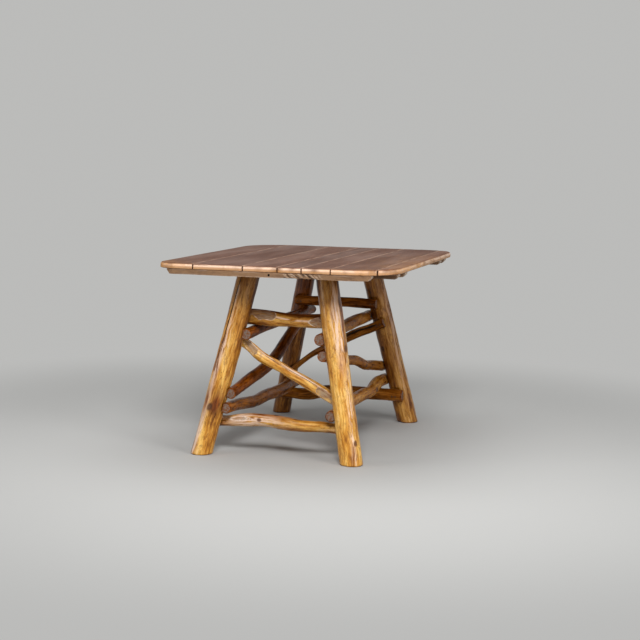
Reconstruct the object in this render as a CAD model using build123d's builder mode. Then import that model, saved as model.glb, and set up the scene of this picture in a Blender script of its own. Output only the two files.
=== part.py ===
from build123d import *
from dataclasses import dataclass
from math import radians, sqrt, tan
import os

# Rustic hickory table: seven boards on cross battens, four splayed log legs, and twelve branch stretchers
# that are shaved flat at their ends, lapped on the inner faces of the legs and nailed there.
# Millimetres. +Z is up, +Y runs along the boards and -Y is the front. The origin is on the floor, under the
# middle of the top.

# The top.
TOP_LENGTH = 1220.0
TOP_WIDTH = 915.0
TABLE_HEIGHT = 740.0
BOARD_THICKNESS = 22.0
END_BOW = 5.0  # how far the middle of each short edge stands out from its corners
SIDE_BOW = 3.0  # the same on each long edge
FRONT_LEFT_CORNER = 80.0
FRONT_RIGHT_CORNER = 180.0
BACK_RIGHT_CORNER = 110.0
BACK_LEFT_CORNER = 185.0
TOP_ROUND = 9.0  # rounding of the upper edge
UNDER_ROUND = 4.0  # rounding of the lower edge
SEAM_GAP = 2.0
SEAM_EASE = 1.5  # the bevel on each arris beside a seam
SEAM_SHARES = (0.171, 0.384, 0.530, 0.630, 0.750, 0.930)  # of the top's width, from the left

# The battens and cleats under the boards.
BATTEN_THICKNESS = 20.0
EDGE_BATTEN_WIDTH = 60.0
EDGE_BATTEN_LENGTH = 784.0
EDGE_BATTEN_SHIFT = -17.0
EDGE_BATTEN_SETBACK = 4.0
CLEAT_WIDTH = 40.0
CLEAT_SETBACK = 6.0  # from the edge of the top to a cleat's end
BATTEN_UNDERCUT = 12.0  # the sloping cut under each batten's ends
BATTEN_HOLE_DIAMETER = 7.0  # an empty hole in the front batten's face
BATTEN_HOLE_DEPTH = 12.0
BATTEN_HOLE_SHIFT = -5.0

# The legs.
LEG_DIAMETER = 84.0
FOOT_SPREAD = 590.0  # across the table, between the middles of the feet
FOOT_REACH = 965.0  # along the table
HEAD_SPREAD = 286.0
HEAD_REACH = 770.0
TONGUE_THICKNESS = 66.0  # of a leg's head, between its two cleats
FOOT_WEAR = 4.0

# The stretchers and their laps.
STRETCHER_DIAMETER = 48.0
SEAT_DEPTH = 5.0  # of the flat cut in a leg
SEAT_SPARE = 2.5  # by which a seat is wider than its stretcher, on each side
SHAVE_SHARE = 0.3  # of a stretcher's radius, shaved off where it lies on its seat
SHAVE_REACH = 1.05  # how far the flat runs past the middle of the leg, in leg radii
SHAVE_RUN_OUT = 1.1  # length of the slope that ends the flat, in leg radii
SHAVE_DROP = 1.4  # how far that slope falls, in depths of the flat
JOINT_GAP = 0.2

# Nails and screws.
NAIL_DIAMETER = 4.5
NAIL_HEAD_DIAMETER = 10.0
NAIL_HEAD_THICKNESS = 2.2
NAIL_BITE = 36.0  # how far a nail goes into its leg
NAIL_POINT = 7.0
NAIL_STEP = 15.0  # between the two nails of a lap
SCREW_DIAMETER = 4.5
SCREW_HEAD_DIAMETER = 9.0
SCREW_HEAD_ANGLE = 82.0
SCREW_BITE = 15.0  # how far a batten's screw goes into its board
HEAD_SCREW_BITE = 28.0  # how far a cleat's screw goes into its leg's head
SCREW_POINT = 5.0
SCREW_ROOM = 16.0  # least distance from a screw to a leg's head screw, or to the end of its batten
HOLE_CLEARANCE = 0.08

# Heights and radii that follow.
BOARD_UNDERSIDE = TABLE_HEIGHT - BOARD_THICKNESS
BATTEN_UNDERSIDE = BOARD_UNDERSIDE - BATTEN_THICKNESS
LEG_RADIUS = LEG_DIAMETER / 2
STRETCHER_RADIUS = STRETCHER_DIAMETER / 2
NAIL_HOLE_RADIUS = NAIL_DIAMETER / 2 + HOLE_CLEARANCE
SCREW_HOLE_RADIUS = SCREW_DIAMETER / 2 + HOLE_CLEARANCE
UP = Vector(0, 0, 1)
DOWN = Vector(0, 0, -1)


@dataclass(frozen=True)
class Leg:
    """A log leg, by what sets it apart from the mean leg."""

    side: int  # -1 on the left, +1 on the right
    end: int  # -1 at the front, +1 at the back
    foot_across: float  # share of half the foot spread
    foot_along: float  # share of half the foot reach
    head_across: float  # share of half the head spread
    girth: tuple  # shares of the leg radius, evenly spaced from the floor to the head

    def axis(self, height):
        """The point of the leg's axis at a height."""
        foot = Vector(self.side * self.foot_across * FOOT_SPREAD, self.end * self.foot_along * FOOT_REACH) / 2
        head = Vector(self.side * self.head_across * HEAD_SPREAD, self.end * HEAD_REACH) / 2
        head += UP * BATTEN_UNDERSIDE
        return foot + (head - foot) * (height / BATTEN_UNDERSIDE)

    def lean(self):
        """The direction of the leg's axis, upwards."""
        return (self.axis(BATTEN_UNDERSIDE) - self.axis(0)).normalized()

    def radius(self, height):
        """The leg's radius at a height."""
        steps = len(self.girth) - 1
        place = min(max(height / BATTEN_UNDERSIDE, 0), 1) * steps
        step = min(int(place), steps - 1)
        share = self.girth[step] + (self.girth[step + 1] - self.girth[step]) * (place - step)
        return LEG_RADIUS * share


LEGS = {
    "front_left": Leg(-1, -1, 1.030, 1.011, 1.07, (1.00, 0.97, 1.01, 0.97, 1.00, 1.02)),
    "front_right": Leg(1, -1, 0.986, 1.010, 1.07, (1.05, 1.03, 1.00, 1.04, 1.05, 1.03)),
    "back_right": Leg(1, 1, 1.004, 0.953, 0.88, (1.04, 1.06, 1.04, 1.07, 1.05, 1.08)),
    "back_left": Leg(-1, 1, 0.981, 1.023, 0.97, (0.95, 0.93, 0.96, 0.98, 0.94, 0.96)),
}


@dataclass(frozen=True)
class Stretcher:
    """A branch between two legs. Its ends are straight, and it bends freely between them."""

    start: str  # a leg
    finish: str  # the next leg, to the right or to the back
    slopes: tuple  # rise over run where it lies on each leg
    overhangs: tuple  # past each leg's axis, in shares of the leg radius
    end_girths: tuple  # shares of the stretcher radius
    bends: tuple  # each (share of the run, inward, up, girth), the last three in stretcher radii

    def lap_radius(self, which):
        """The stretcher's radius at its first or second lap."""
        return STRETCHER_RADIUS * self.end_girths[which]


STRETCHERS = {
    "front_upper_rail": Stretcher(
        "front_left", "front_right", (0.0, 0.0), (0.45, 0.45), (1.33, 1.20),
        ((0.24, 0.10, -0.14, 1.28), (0.45, 0.20, -0.18, 1.15), (0.65, 0.05, -0.15, 1.12), (0.86, 0.0, -0.1, 1.17)),
    ),
    "front_diagonal": Stretcher(
        "front_left", "front_right", (-0.50, -0.54), (0.35, 0.35), (0.86, 0.96),
        ((0.12, 0.10, -0.50, 0.92), (0.30, 0.25, -0.42, 0.86), (0.52, 0.0, -0.20, 0.86), (0.77, 0.15, -0.07, 0.97)),
    ),
    "front_lower_rail": Stretcher(
        "front_left", "front_right", (0.06, 0.0), (0.40, 0.40), (0.93, 0.86),
        ((0.12, 0.0, 0.22, 1.08), (0.24, 0.15, 0.38, 1.10), (0.36, 0.25, 0.40, 1.05), (0.48, 0.10, 0.28, 1.11),
         (0.64, -0.10, 0.05, 1.03), (0.77, 0.05, 0.03, 0.95), (0.90, 0.10, 0.10, 0.91)),
    ),
    "left_upper_rail": Stretcher(
        "front_left", "back_left", (0.04, 0.0), (0.22, 0.30), (0.96, 0.84),
        ((0.13, 0.05, 0.18, 0.98), (0.30, 0.20, 0.26, 1.00), (0.52, 0.10, 0.15, 0.95), (0.76, -0.08, 0.05, 0.89)),
    ),
    "left_diagonal": Stretcher(
        "front_left", "back_left", (0.10, 0.02), (0.22, 0.30), (0.94, 0.80),
        ((0.17, 0.05, -0.46, 1.02), (0.34, 0.20, -0.90, 1.04), (0.52, 0.10, -1.02, 1.03), (0.66, -0.05, -0.42, 1.00),
         (0.76, -0.10, 0.24, 0.97), (0.85, 0.0, 0.80, 0.92)),
    ),
    "left_lower_rail": Stretcher(
        "front_left", "back_left", (-0.04, 0.0), (0.34, 0.40), (0.93, 1.00),
        ((0.09, 0.0, -0.10, 0.98), (0.25, 0.15, -0.46, 1.03), (0.43, 0.25, -0.38, 1.06), (0.64, 0.05, -0.50, 1.10),
         (0.85, 0.05, -0.32, 1.08)),
    ),
    "back_upper_rail": Stretcher(
        "back_left", "back_right", (0.0, -0.02), (0.32, 0.12), (0.90, 0.95),
        ((0.25, 0.08, 0.03, 0.93), (0.50, 0.15, 0.04, 0.91), (0.78, 0.04, 0.06, 0.92)),
    ),
    "back_diagonal": Stretcher(
        "back_left", "back_right", (0.92, 0.46), (0.40, 0.35), (0.55, 0.86),
        ((0.12, 0.05, 0.45, 0.52), (0.27, 0.15, 0.72, 0.58), (0.42, 0.22, 0.60, 0.67), (0.57, 0.12, 0.44, 0.77),
         (0.73, 0.05, 0.42, 0.87), (0.88, 0.0, 0.28, 0.90)),
    ),
    "back_lower_rail": Stretcher(
        "back_left", "back_right", (-0.03, -0.02), (0.30, 0.62), (1.06, 1.12),
        ((0.17, 0.05, -0.14, 1.12), (0.32, 0.15, 0.34, 1.13), (0.48, 0.20, 0.34, 1.17), (0.65, 0.10, 0.28, 1.19),
         (0.85, 0.0, 0.12, 1.17)),
    ),
    "right_upper_rail": Stretcher(
        "front_right", "back_right", (0.0, 0.0), (0.18, 0.30), (1.01, 1.03),
        ((0.18, 0.05, 0.04, 1.02), (0.43, 0.15, 0.13, 1.06), (0.76, 0.05, 0.18, 1.10)),
    ),
    "right_diagonal": Stretcher(
        "front_right", "back_right", (-0.17, -0.15), (0.15, 0.45), (0.92, 0.95),
        ((0.20, 0.15, 0.10, 0.90), (0.40, 0.30, 0.06, 0.87), (0.52, 0.0, 0.24, 0.88), (0.68, -0.20, -0.28, 0.89),
         (0.85, 0.10, -0.14, 0.91)),
    ),
    "right_lower_rail": Stretcher(
        "front_right", "back_right", (0.0, -0.05), (0.18, 0.45), (0.94, 1.08),
        ((0.20, 0.10, 0.02, 0.97), (0.41, 0.25, -0.12, 1.00), (0.64, 0.15, -0.36, 1.07), (0.80, -0.15, -0.16, 1.09),
         (0.92, 0.0, 0.12, 1.13)),
    ),
}

# What passes each leg on its inner side, from the floor up, with the daylight below it. The first is above
# the floor, and each of the others is above the one before.
CROSSINGS = {
    "front_left": (
        ("front_lower_rail", 101.0), ("left_lower_rail", 9.0), ("left_diagonal", 20.0),
        ("front_diagonal", 127.0), ("left_upper_rail", 9.0), ("front_upper_rail", 2.5),
    ),
    "front_right": (
        ("front_lower_rail", 98.5), ("right_lower_rail", 11.0), ("front_diagonal", 13.0),
        ("right_diagonal", 107.0), ("right_upper_rail", 25.0), ("front_upper_rail", 10.0),
    ),
    "back_left": (
        ("back_lower_rail", 75.5), ("left_lower_rail", 3.0), ("back_diagonal", 32.0),
        ("left_diagonal", 175.0), ("left_upper_rail", 6.0), ("back_upper_rail", 2.5),
    ),
    "back_right": (
        ("back_lower_rail", 98.5), ("right_lower_rail", 8.0), ("right_diagonal", 17.0),
        ("back_diagonal", 112.0), ("right_upper_rail", 8.5), ("back_upper_rail", 11.0),
    ),
}


def crossing_height(leg_name, stretcher_name):
    """The height of a stretcher's centre line where it passes the crossing members beside a leg."""
    height = 0.0
    radius_below = 0.0
    for name, daylight in CROSSINGS[leg_name]:
        stretcher = STRETCHERS[name]
        radius = stretcher.lap_radius(0 if stretcher.start == leg_name else 1)
        height += radius_below + daylight + radius
        radius_below = radius
        if name == stretcher_name:
            break
    return height


@dataclass(frozen=True)
class Lap:
    """One end of a stretcher on its leg."""

    leg: str
    radius: float  # of the stretcher
    seat: Plane  # the leg's flat: x along the stretcher to its middle, z out of the leg
    centre: Vector  # on the stretcher's centre line, beside the leg's axis
    overhang: float
    crossing: float  # from the leg's axis to the crossing members, along the stretcher

    def along(self, distance):
        """The point of the stretcher's centre line at a distance from the leg's axis."""
        return self.centre + self.seat.x_dir * distance

    def straight_places(self):
        """Distances from the leg's axis along the lap's straight stretch, its two ends and one between."""
        return (-self.overhang, self.crossing / 3, self.crossing)

    def nail_planes(self):
        """The planes under the two nails' heads, facing out of the stretcher."""
        out = self.radius - NAIL_HEAD_THICKNESS
        places = (0.0, NAIL_STEP)
        return [Plane(self.along(place) + self.seat.z_dir * out, self.seat.x_dir, self.seat.z_dir) for place in places]

    def nail_length(self):
        """The length of a nail under its head."""
        thickness = self.radius * (2 - SHAVE_SHARE) - NAIL_HEAD_THICKNESS
        return thickness + JOINT_GAP + NAIL_BITE


def find_lap(name, which):
    """Where the first or second end of a stretcher lies on its leg."""
    stretcher = STRETCHERS[name]
    leg_name = (stretcher.start, stretcher.finish)[which]
    leg = LEGS[leg_name]
    other = LEGS[(stretcher.finish, stretcher.start)[which]]
    radius = stretcher.lap_radius(which)
    height = crossing_height(leg_name, name)
    run = other.axis(height) - leg.axis(height)
    slope = stretcher.slopes[which] * (1, -1)[which]
    along = (run.normalized() + UP * slope).normalized()
    out = leg.lean().cross(along).normalized()
    inward = Vector(-leg.side, 0) if leg.side == other.side else Vector(0, -leg.end)
    if out.dot(inward) < 0:
        out = out * -1
    crossing = LEG_RADIUS - SEAT_DEPTH + STRETCHER_RADIUS
    seat_distance = leg.radius(height) - SEAT_DEPTH
    centre_distance = seat_distance + JOINT_GAP + radius * (1 - SHAVE_SHARE)
    axis_height = height - along.Z * crossing - out.Z * centre_distance
    foot_of_lap = leg.axis(axis_height)
    seat = Plane(foot_of_lap + out * seat_distance, along, out)
    centre = foot_of_lap + out * centre_distance
    overhang = stretcher.overhangs[which] * LEG_RADIUS
    return Lap(leg_name, radius, seat, centre, overhang, crossing)


LAPS = {name: (find_lap(name, 0), find_lap(name, 1)) for name in STRETCHERS}


def stretcher_sections(name):
    """The points and radii of a stretcher's round sections, from one end to the other."""
    stretcher = STRETCHERS[name]
    first, second = LAPS[name]
    start = first.along(first.crossing)
    run = second.along(second.crossing) - start
    out = first.seat.z_dir + second.seat.z_dir
    inward = Vector(out.X, out.Y).normalized()
    sections = [(first.along(distance), first.radius) for distance in first.straight_places()]
    for share, across, up, girth in stretcher.bends:
        point = start + run * share + (inward * across + UP * up) * STRETCHER_RADIUS
        sections.append((point, girth * STRETCHER_RADIUS))
    sections += [(second.along(distance), second.radius) for distance in reversed(second.straight_places())]
    return sections


def finish(part, name):
    """Labels a finished piece and writes it."""
    part.label = name
    export_step(part, f"parts/{name}.step")


def round_pole(sections, seam):
    """A pole lofted through round sections square to the line through their points, its seam on one side."""
    points = [point for point, _ in sections]
    with BuildPart() as pole:
        for index, (point, radius) in enumerate(sections):
            ahead = points[min(index + 1, len(points) - 1)]
            behind = points[max(index - 1, 0)]
            direction = (ahead - behind).normalized()
            across = (seam - direction * seam.dot(direction)).normalized()
            with BuildSketch(Plane(point, across, direction)):
                Circle(radius)
        loft()
    return pole.part


def shaving(lap):
    """What is cut from a stretcher so that it lies flat on its seat, with the flat running out past the leg."""
    slant = LEGS[lap.leg].lean().cross(lap.seat.x_dir).length
    flat = LEG_RADIUS * SHAVE_REACH / slant
    run_out = LEG_RADIUS * SHAVE_RUN_OUT
    depth = lap.radius * SHAVE_SHARE * SHAVE_DROP
    beyond = lap.overhang + LEG_RADIUS
    below = lap.radius * 4
    face = lap.seat.origin + lap.seat.z_dir * JOINT_GAP
    side = lap.seat.x_dir.cross(lap.seat.z_dir)
    with BuildPart() as cut:
        with BuildSketch(Plane(face, lap.seat.x_dir, side)):
            with BuildLine():
                Polyline(
                    (-beyond, 0), (flat, 0), (flat + run_out, -depth), (flat + run_out, -below), (-beyond, -below),
                    close=True,
                )
            make_face()
        extrude(amount=lap.radius * 2, both=True)
    return cut.part


def top_outline(setback):
    """The top's outline on the floor plane, drawn in by a setback."""
    x = TOP_WIDTH / 2 - setback
    y = TOP_LENGTH / 2 - setback
    corners = [(i * (x - SIDE_BOW), j * (y - END_BOW)) for i, j in ((-1, -1), (1, -1), (1, 1), (-1, 1))]
    middles = ((0, -y), (x, 0), (0, y), (-x, 0))
    rounds = (FRONT_LEFT_CORNER, FRONT_RIGHT_CORNER, BACK_RIGHT_CORNER, BACK_LEFT_CORNER)
    with BuildSketch() as outline:
        with BuildLine():
            for corner, middle, following in zip(corners, middles, (*corners[1:], corners[0])):
                ThreePointArc(corner, middle, following)
        make_face()
        for corner, radius in zip(corners, rounds):
            fillet(outline.vertices().sort_by_distance(corner)[0], radius - setback)
    return outline.sketch


SEAMS = [TOP_WIDTH * (share - 0.5) for share in SEAM_SHARES]
BOARD_EDGES = [-TOP_WIDTH / 2, *SEAMS, TOP_WIDTH / 2]


@dataclass(frozen=True)
class Batten:
    """A strip across the underside of the boards, by the lines of its two long faces and its two ends."""

    outer: float  # y of the face nearer the end of the table
    inner: float
    left: float
    right: float
    setback: float  # its ends' distance inside the top's outline

    @property
    def middle(self):
        """The y of the batten's middle."""
        return (self.outer + self.inner) / 2

    @property
    def facing(self):
        """-1 where the outer face looks to the front, +1 where it looks to the back."""
        return 1 if self.outer > self.inner else -1

    def screw_places(self):
        """The x of each screw: one in each board that the batten holds, clear of the leg heads."""
        heads = [leg.axis(BATTEN_UNDERSIDE).X for leg in LEGS.values() if leg.end * self.middle > 0]
        places = []
        for low, high in zip(BOARD_EDGES, BOARD_EDGES[1:]):
            low = max(low, self.left + BATTEN_UNDERCUT)
            high = min(high, self.right - BATTEN_UNDERCUT)
            place = (low + high) / 2
            roomy = high - low > SCREW_ROOM
            if roomy and all(abs(place - head) > SCREW_ROOM for head in heads):
                places.append(place)
        return places


def cleat_reach(y):
    """Half the width of the top at a line across it, less a cleat's setback."""
    corner = max(FRONT_LEFT_CORNER, FRONT_RIGHT_CORNER, BACK_RIGHT_CORNER, BACK_LEFT_CORNER)
    into = max(0.0, abs(y) - (TOP_LENGTH / 2 - corner))
    inset = corner - sqrt(max(corner**2 - into**2, 0.0))
    return TOP_WIDTH / 2 - SIDE_BOW - inset - CLEAT_SETBACK


def make_battens():
    """The six battens, from the front of the table to the back."""
    edge = TOP_LENGTH / 2 - EDGE_BATTEN_SETBACK
    cheek = TONGUE_THICKNESS / 2 + JOINT_GAP
    half = EDGE_BATTEN_LENGTH / 2
    battens = {}
    for end, end_name in ((-1, "front"), (1, "back")):
        head = HEAD_REACH / 2
        lines = {
            "edge_batten": (edge, edge - EDGE_BATTEN_WIDTH),
            "outer_cleat": (head + cheek + CLEAT_WIDTH, head + cheek),
            "inner_cleat": (head - cheek - CLEAT_WIDTH, head - cheek),
        }
        for kind, (outer, inner) in lines.items():
            reach = cleat_reach(max(outer, inner))
            left, right, setback = -reach, reach, CLEAT_SETBACK / 2
            if kind == "edge_batten":
                left, right, setback = EDGE_BATTEN_SHIFT - half, EDGE_BATTEN_SHIFT + half, EDGE_BATTEN_SETBACK
            battens[f"{end_name}_{kind}"] = Batten(end * outer, end * inner, left, right, setback)
    return battens


BATTENS = make_battens()


def head_screw_planes(leg, batten):
    """The plane under a leg's head screw, on the face of a cleat that is away from the leg."""
    head = leg.axis(BATTEN_UNDERSIDE + BATTEN_THICKNESS / 2)
    return Plane(Vector(head.X, batten.outer, head.Z), (1, 0, 0), (0, batten.facing, 0))


HEAD_SCREW_LENGTH = CLEAT_WIDTH + JOINT_GAP + HEAD_SCREW_BITE


def add_screws(planes, length):
    """Adds a countersunk screw of a length at each plane."""
    radius = SCREW_DIAMETER / 2
    head = SCREW_HEAD_DIAMETER / 2
    taper = (head - radius) / tan(radians(SCREW_HEAD_ANGLE / 2))
    with BuildPart(mode=Mode.PRIVATE) as screw:
        with BuildSketch(Plane.XZ):
            with BuildLine():
                Polyline(
                    (0, 0), (head, 0), (radius, -taper), (radius, -length + SCREW_POINT), (0, -length),
                    close=True,
                )
            make_face()
        revolve(axis=Axis.Z)
    with Locations(*planes):
        add(screw.part)


def drill_screws(planes, depth):
    """Drills and countersinks for screws at planes, to a depth."""
    with Locations(*planes):
        CounterSinkHole(SCREW_HOLE_RADIUS, SCREW_HEAD_DIAMETER / 2 + HOLE_CLEARANCE, depth, SCREW_HEAD_ANGLE)


os.makedirs("parts", exist_ok=True)

# The boards: the whole top, its edge rounded, parted along its seams.
with BuildPart() as top_blank:
    with BuildSketch(Plane.XY.offset(BOARD_UNDERSIDE)):
        add(top_outline(0))
    extrude(amount=BOARD_THICKNESS)
    fillet(top_blank.edges().group_by(Axis.Z)[-1], TOP_ROUND)
    fillet(top_blank.edges().group_by(Axis.Z)[0], UNDER_ROUND)
    groove = sqrt(2) * (SEAM_GAP / 2 + SEAM_EASE)
    middle = TABLE_HEIGHT - BOARD_THICKNESS / 2
    with Locations(*[(seam, 0, middle) for seam in SEAMS]):
        Box(SEAM_GAP, TOP_LENGTH * 1.1, BOARD_THICKNESS * 1.5, mode=Mode.SUBTRACT)
    with Locations(*[(seam, 0, TABLE_HEIGHT) for seam in SEAMS]):
        Box(groove, TOP_LENGTH * 1.1, groove, rotation=(0, 45, 0), mode=Mode.SUBTRACT)

BOARD_SCREWS = [(place, batten.middle) for batten in BATTENS.values() for place in batten.screw_places()]
for number, blank in enumerate(top_blank.solids().sort_by(Axis.X), 1):
    low, high = BOARD_EDGES[number - 1 : number + 1]
    planes = [Plane((x, y, BOARD_UNDERSIDE), (1, 0, 0), DOWN) for x, y in BOARD_SCREWS if low < x < high]
    with BuildPart() as board:
        add(blank)
        if planes:
            with Locations(*planes):
                Hole(SCREW_HOLE_RADIUS, SCREW_BITE + HOLE_CLEARANCE)
    finish(board.part, f"top_board_{number}")

# The battens, with their screws.
for name, strip in BATTENS.items():
    under = [Plane((x, strip.middle, BATTEN_UNDERSIDE), (1, 0, 0), DOWN) for x in strip.screw_places()]
    is_cleat = name.endswith("cleat")
    heads = []
    if is_cleat:
        heads = [head_screw_planes(leg, strip) for leg in LEGS.values() if leg.end * strip.middle > 0]
    with BuildPart() as batten:
        with BuildSketch(Plane.XY.offset(BATTEN_UNDERSIDE)):
            add(top_outline(strip.setback))
            spare = 0 if is_cleat else EDGE_BATTEN_SETBACK
            width = abs(strip.outer - strip.inner) + spare
            with Locations(((strip.left + strip.right) / 2, (strip.inner + strip.outer + strip.facing * spare) / 2)):
                Rectangle(strip.right - strip.left, width, mode=Mode.INTERSECT)
        extrude(amount=BATTEN_THICKNESS)
        side = sqrt(2) * BATTEN_UNDERCUT
        with Locations(*[(x, strip.middle, BATTEN_UNDERSIDE) for x in (strip.left, strip.right)]):
            Box(side, EDGE_BATTEN_WIDTH * 2, side, rotation=(0, 45, 0), mode=Mode.SUBTRACT)
        drill_screws(under, BATTEN_THICKNESS)
        if heads:
            drill_screws(heads, CLEAT_WIDTH)
        if name == "front_edge_batten":
            place = Vector(BATTEN_HOLE_SHIFT, strip.outer, BATTEN_UNDERSIDE + BATTEN_THICKNESS / 2)
            with Locations(Plane(place, (1, 0, 0), (0, -1, 0))):
                Hole(BATTEN_HOLE_DIAMETER / 2, BATTEN_HOLE_DEPTH)
    finish(batten.part, name)
    with BuildPart() as screws:
        add_screws(under, BATTEN_THICKNESS + SCREW_BITE)
    finish(screws.part, f"{name}_screws")

# The screws through the cleats into the heads of the legs.
HEAD_SCREWS = {}
for leg_name, leg in LEGS.items():
    cleats = [strip for name, strip in BATTENS.items() if name.endswith("cleat") and leg.end * strip.middle > 0]
    HEAD_SCREWS[leg_name] = [head_screw_planes(leg, strip) for strip in cleats]
with BuildPart() as head_screws:
    for planes in HEAD_SCREWS.values():
        add_screws(planes, HEAD_SCREW_LENGTH)
finish(head_screws.part, "leg_head_screws")

# The legs: round logs, cut off level, with a tongue between the cleats and a flat seat for each stretcher.
for leg_name, leg in LEGS.items():
    laps = [lap for pair in LAPS.values() for lap in pair if lap.leg == leg_name]
    with BuildPart() as log:
        steps = len(leg.girth) - 1
        heights = [BATTEN_UNDERSIDE * step / steps for step in range(steps + 1)]
        heights = [-LEG_RADIUS, *heights, TABLE_HEIGHT + LEG_RADIUS]
        sections = [(leg.axis(height), leg.radius(height)) for height in heights]
        add(round_pole(sections, Vector(leg.side, leg.end)))
        split(bisect_by=Plane.XY, keep=Keep.TOP)
        split(bisect_by=Plane.XY.offset(BOARD_UNDERSIDE), keep=Keep.BOTTOM)
        chamfer(log.edges().group_by(Axis.Z)[0], FOOT_WEAR)
        for cheek in (-1, 1):
            y = leg.end * HEAD_REACH / 2 + cheek * (TONGUE_THICKNESS + LEG_DIAMETER) / 2
            with Locations((leg.axis(BOARD_UNDERSIDE).X, y, BATTEN_UNDERSIDE)):
                Box(
                    LEG_DIAMETER * 2, LEG_DIAMETER, LEG_DIAMETER,
                    align=(Align.CENTER, Align.CENTER, Align.MIN), mode=Mode.SUBTRACT,
                )
        for lap in laps:
            with BuildSketch(lap.seat):
                Rectangle(LEG_DIAMETER * 1.5, (lap.radius + SEAT_SPARE) * 2)
            extrude(amount=LEG_RADIUS, mode=Mode.SUBTRACT)
        for lap in laps:
            depth = lap.nail_length() + HOLE_CLEARANCE
            with Locations(*lap.nail_planes()):
                Hole(NAIL_HOLE_RADIUS, depth)
        reach = HEAD_SCREW_LENGTH + HOLE_CLEARANCE
        with Locations(*HEAD_SCREWS[leg_name]):
            Hole(SCREW_HOLE_RADIUS, reach)
    finish(log.part, f"{leg_name}_leg")

# The stretchers.
for name, pair in LAPS.items():
    with BuildPart() as branch:
        add(round_pole(stretcher_sections(name), pair[0].seat.z_dir + DOWN))
        for lap in pair:
            add(shaving(lap), mode=Mode.SUBTRACT)
            with Locations(*lap.nail_planes()):
                Hole(NAIL_HOLE_RADIUS, lap.radius * 2)
                Cylinder(
                    NAIL_HEAD_DIAMETER / 2 + HOLE_CLEARANCE, lap.radius,
                    align=(Align.CENTER, Align.CENTER, Align.MIN), mode=Mode.SUBTRACT,
                )
    finish(branch.part, name)

# The nails, one group for each side of the table.
for side in ("front", "left", "back", "right"):
    with BuildPart() as nails:
        for name, pair in LAPS.items():
            if name.startswith(side):
                for lap in pair:
                    shank = lap.nail_length() - NAIL_POINT
                    with Locations(*lap.nail_planes()):
                        Cylinder(
                            NAIL_HEAD_DIAMETER / 2, NAIL_HEAD_THICKNESS,
                            align=(Align.CENTER, Align.CENTER, Align.MIN),
                        )
                        Cylinder(NAIL_DIAMETER / 2, shank, align=(Align.CENTER, Align.CENTER, Align.MAX))
                        with Locations((0, 0, -shank)):
                            Cone(0, NAIL_DIAMETER / 2, NAIL_POINT, align=(Align.CENTER, Align.CENTER, Align.MAX))
    finish(nails.part, f"{side}_nails")
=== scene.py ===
"""The looks of a rustic hickory table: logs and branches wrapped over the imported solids, planed boards,
battens, cleats, nails and screws, each with its own finish."""

import logging
import math
from dataclasses import dataclass
from enum import Enum
from typing import Any

import bmesh
import bpy
import numpy as np
from mathutils import Matrix, Vector
from mathutils.bvhtree import BVHTree


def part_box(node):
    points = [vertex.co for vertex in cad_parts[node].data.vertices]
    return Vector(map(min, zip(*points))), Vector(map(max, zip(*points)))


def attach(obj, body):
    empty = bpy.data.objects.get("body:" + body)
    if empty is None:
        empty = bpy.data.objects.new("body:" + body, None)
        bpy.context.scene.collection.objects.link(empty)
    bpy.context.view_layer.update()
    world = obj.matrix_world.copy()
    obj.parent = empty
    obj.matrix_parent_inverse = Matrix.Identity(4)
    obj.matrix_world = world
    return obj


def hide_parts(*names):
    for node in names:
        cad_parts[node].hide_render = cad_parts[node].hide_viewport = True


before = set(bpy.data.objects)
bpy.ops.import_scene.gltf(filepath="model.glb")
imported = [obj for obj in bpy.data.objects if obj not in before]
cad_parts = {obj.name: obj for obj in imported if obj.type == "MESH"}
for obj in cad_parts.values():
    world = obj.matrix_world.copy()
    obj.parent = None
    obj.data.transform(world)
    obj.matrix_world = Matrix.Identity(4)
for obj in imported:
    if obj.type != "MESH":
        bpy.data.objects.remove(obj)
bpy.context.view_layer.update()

LOG = logging.getLogger("hickory_table")
MM = 0.001
FULL_TURN = 2.0 * math.pi
UP = np.array((0.0, 0.0, 1.0))
FRONT = np.array((0.0, -1.0, 0.0))
ONWARD = np.array((1.0, 1.0, 0.0))  # a stretcher runs to the right or to the back

Colour = tuple[float, float, float]
Tones = tuple[Colour, Colour, Colour]  # pale, middle and dark
Place = tuple[float, float, float]
Marks = dict[str, np.ndarray]
Piece = bpy.types.Object
Socket = bpy.types.NodeSocket


def smooth_step(low: float, high: float, value: np.ndarray) -> np.ndarray:
    """0 at low and 1 at high, smooth between them and level beyond. Where low is the larger, it falls."""
    share = np.clip((value - low) / (high - low), 0.0, 1.0)
    return share * share * (3.0 - 2.0 * share)


def unit(vectors: np.ndarray) -> np.ndarray:
    """The vectors, each brought to a length of 1."""
    return vectors / np.linalg.norm(vectors, axis=-1, keepdims=True)


def turns_past(turns: Any, mark: float) -> Any:
    """How far turns are past a mark, from half a turn before it to half a turn after it."""
    return (turns - mark + 0.5) % 1.0 - 0.5


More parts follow.
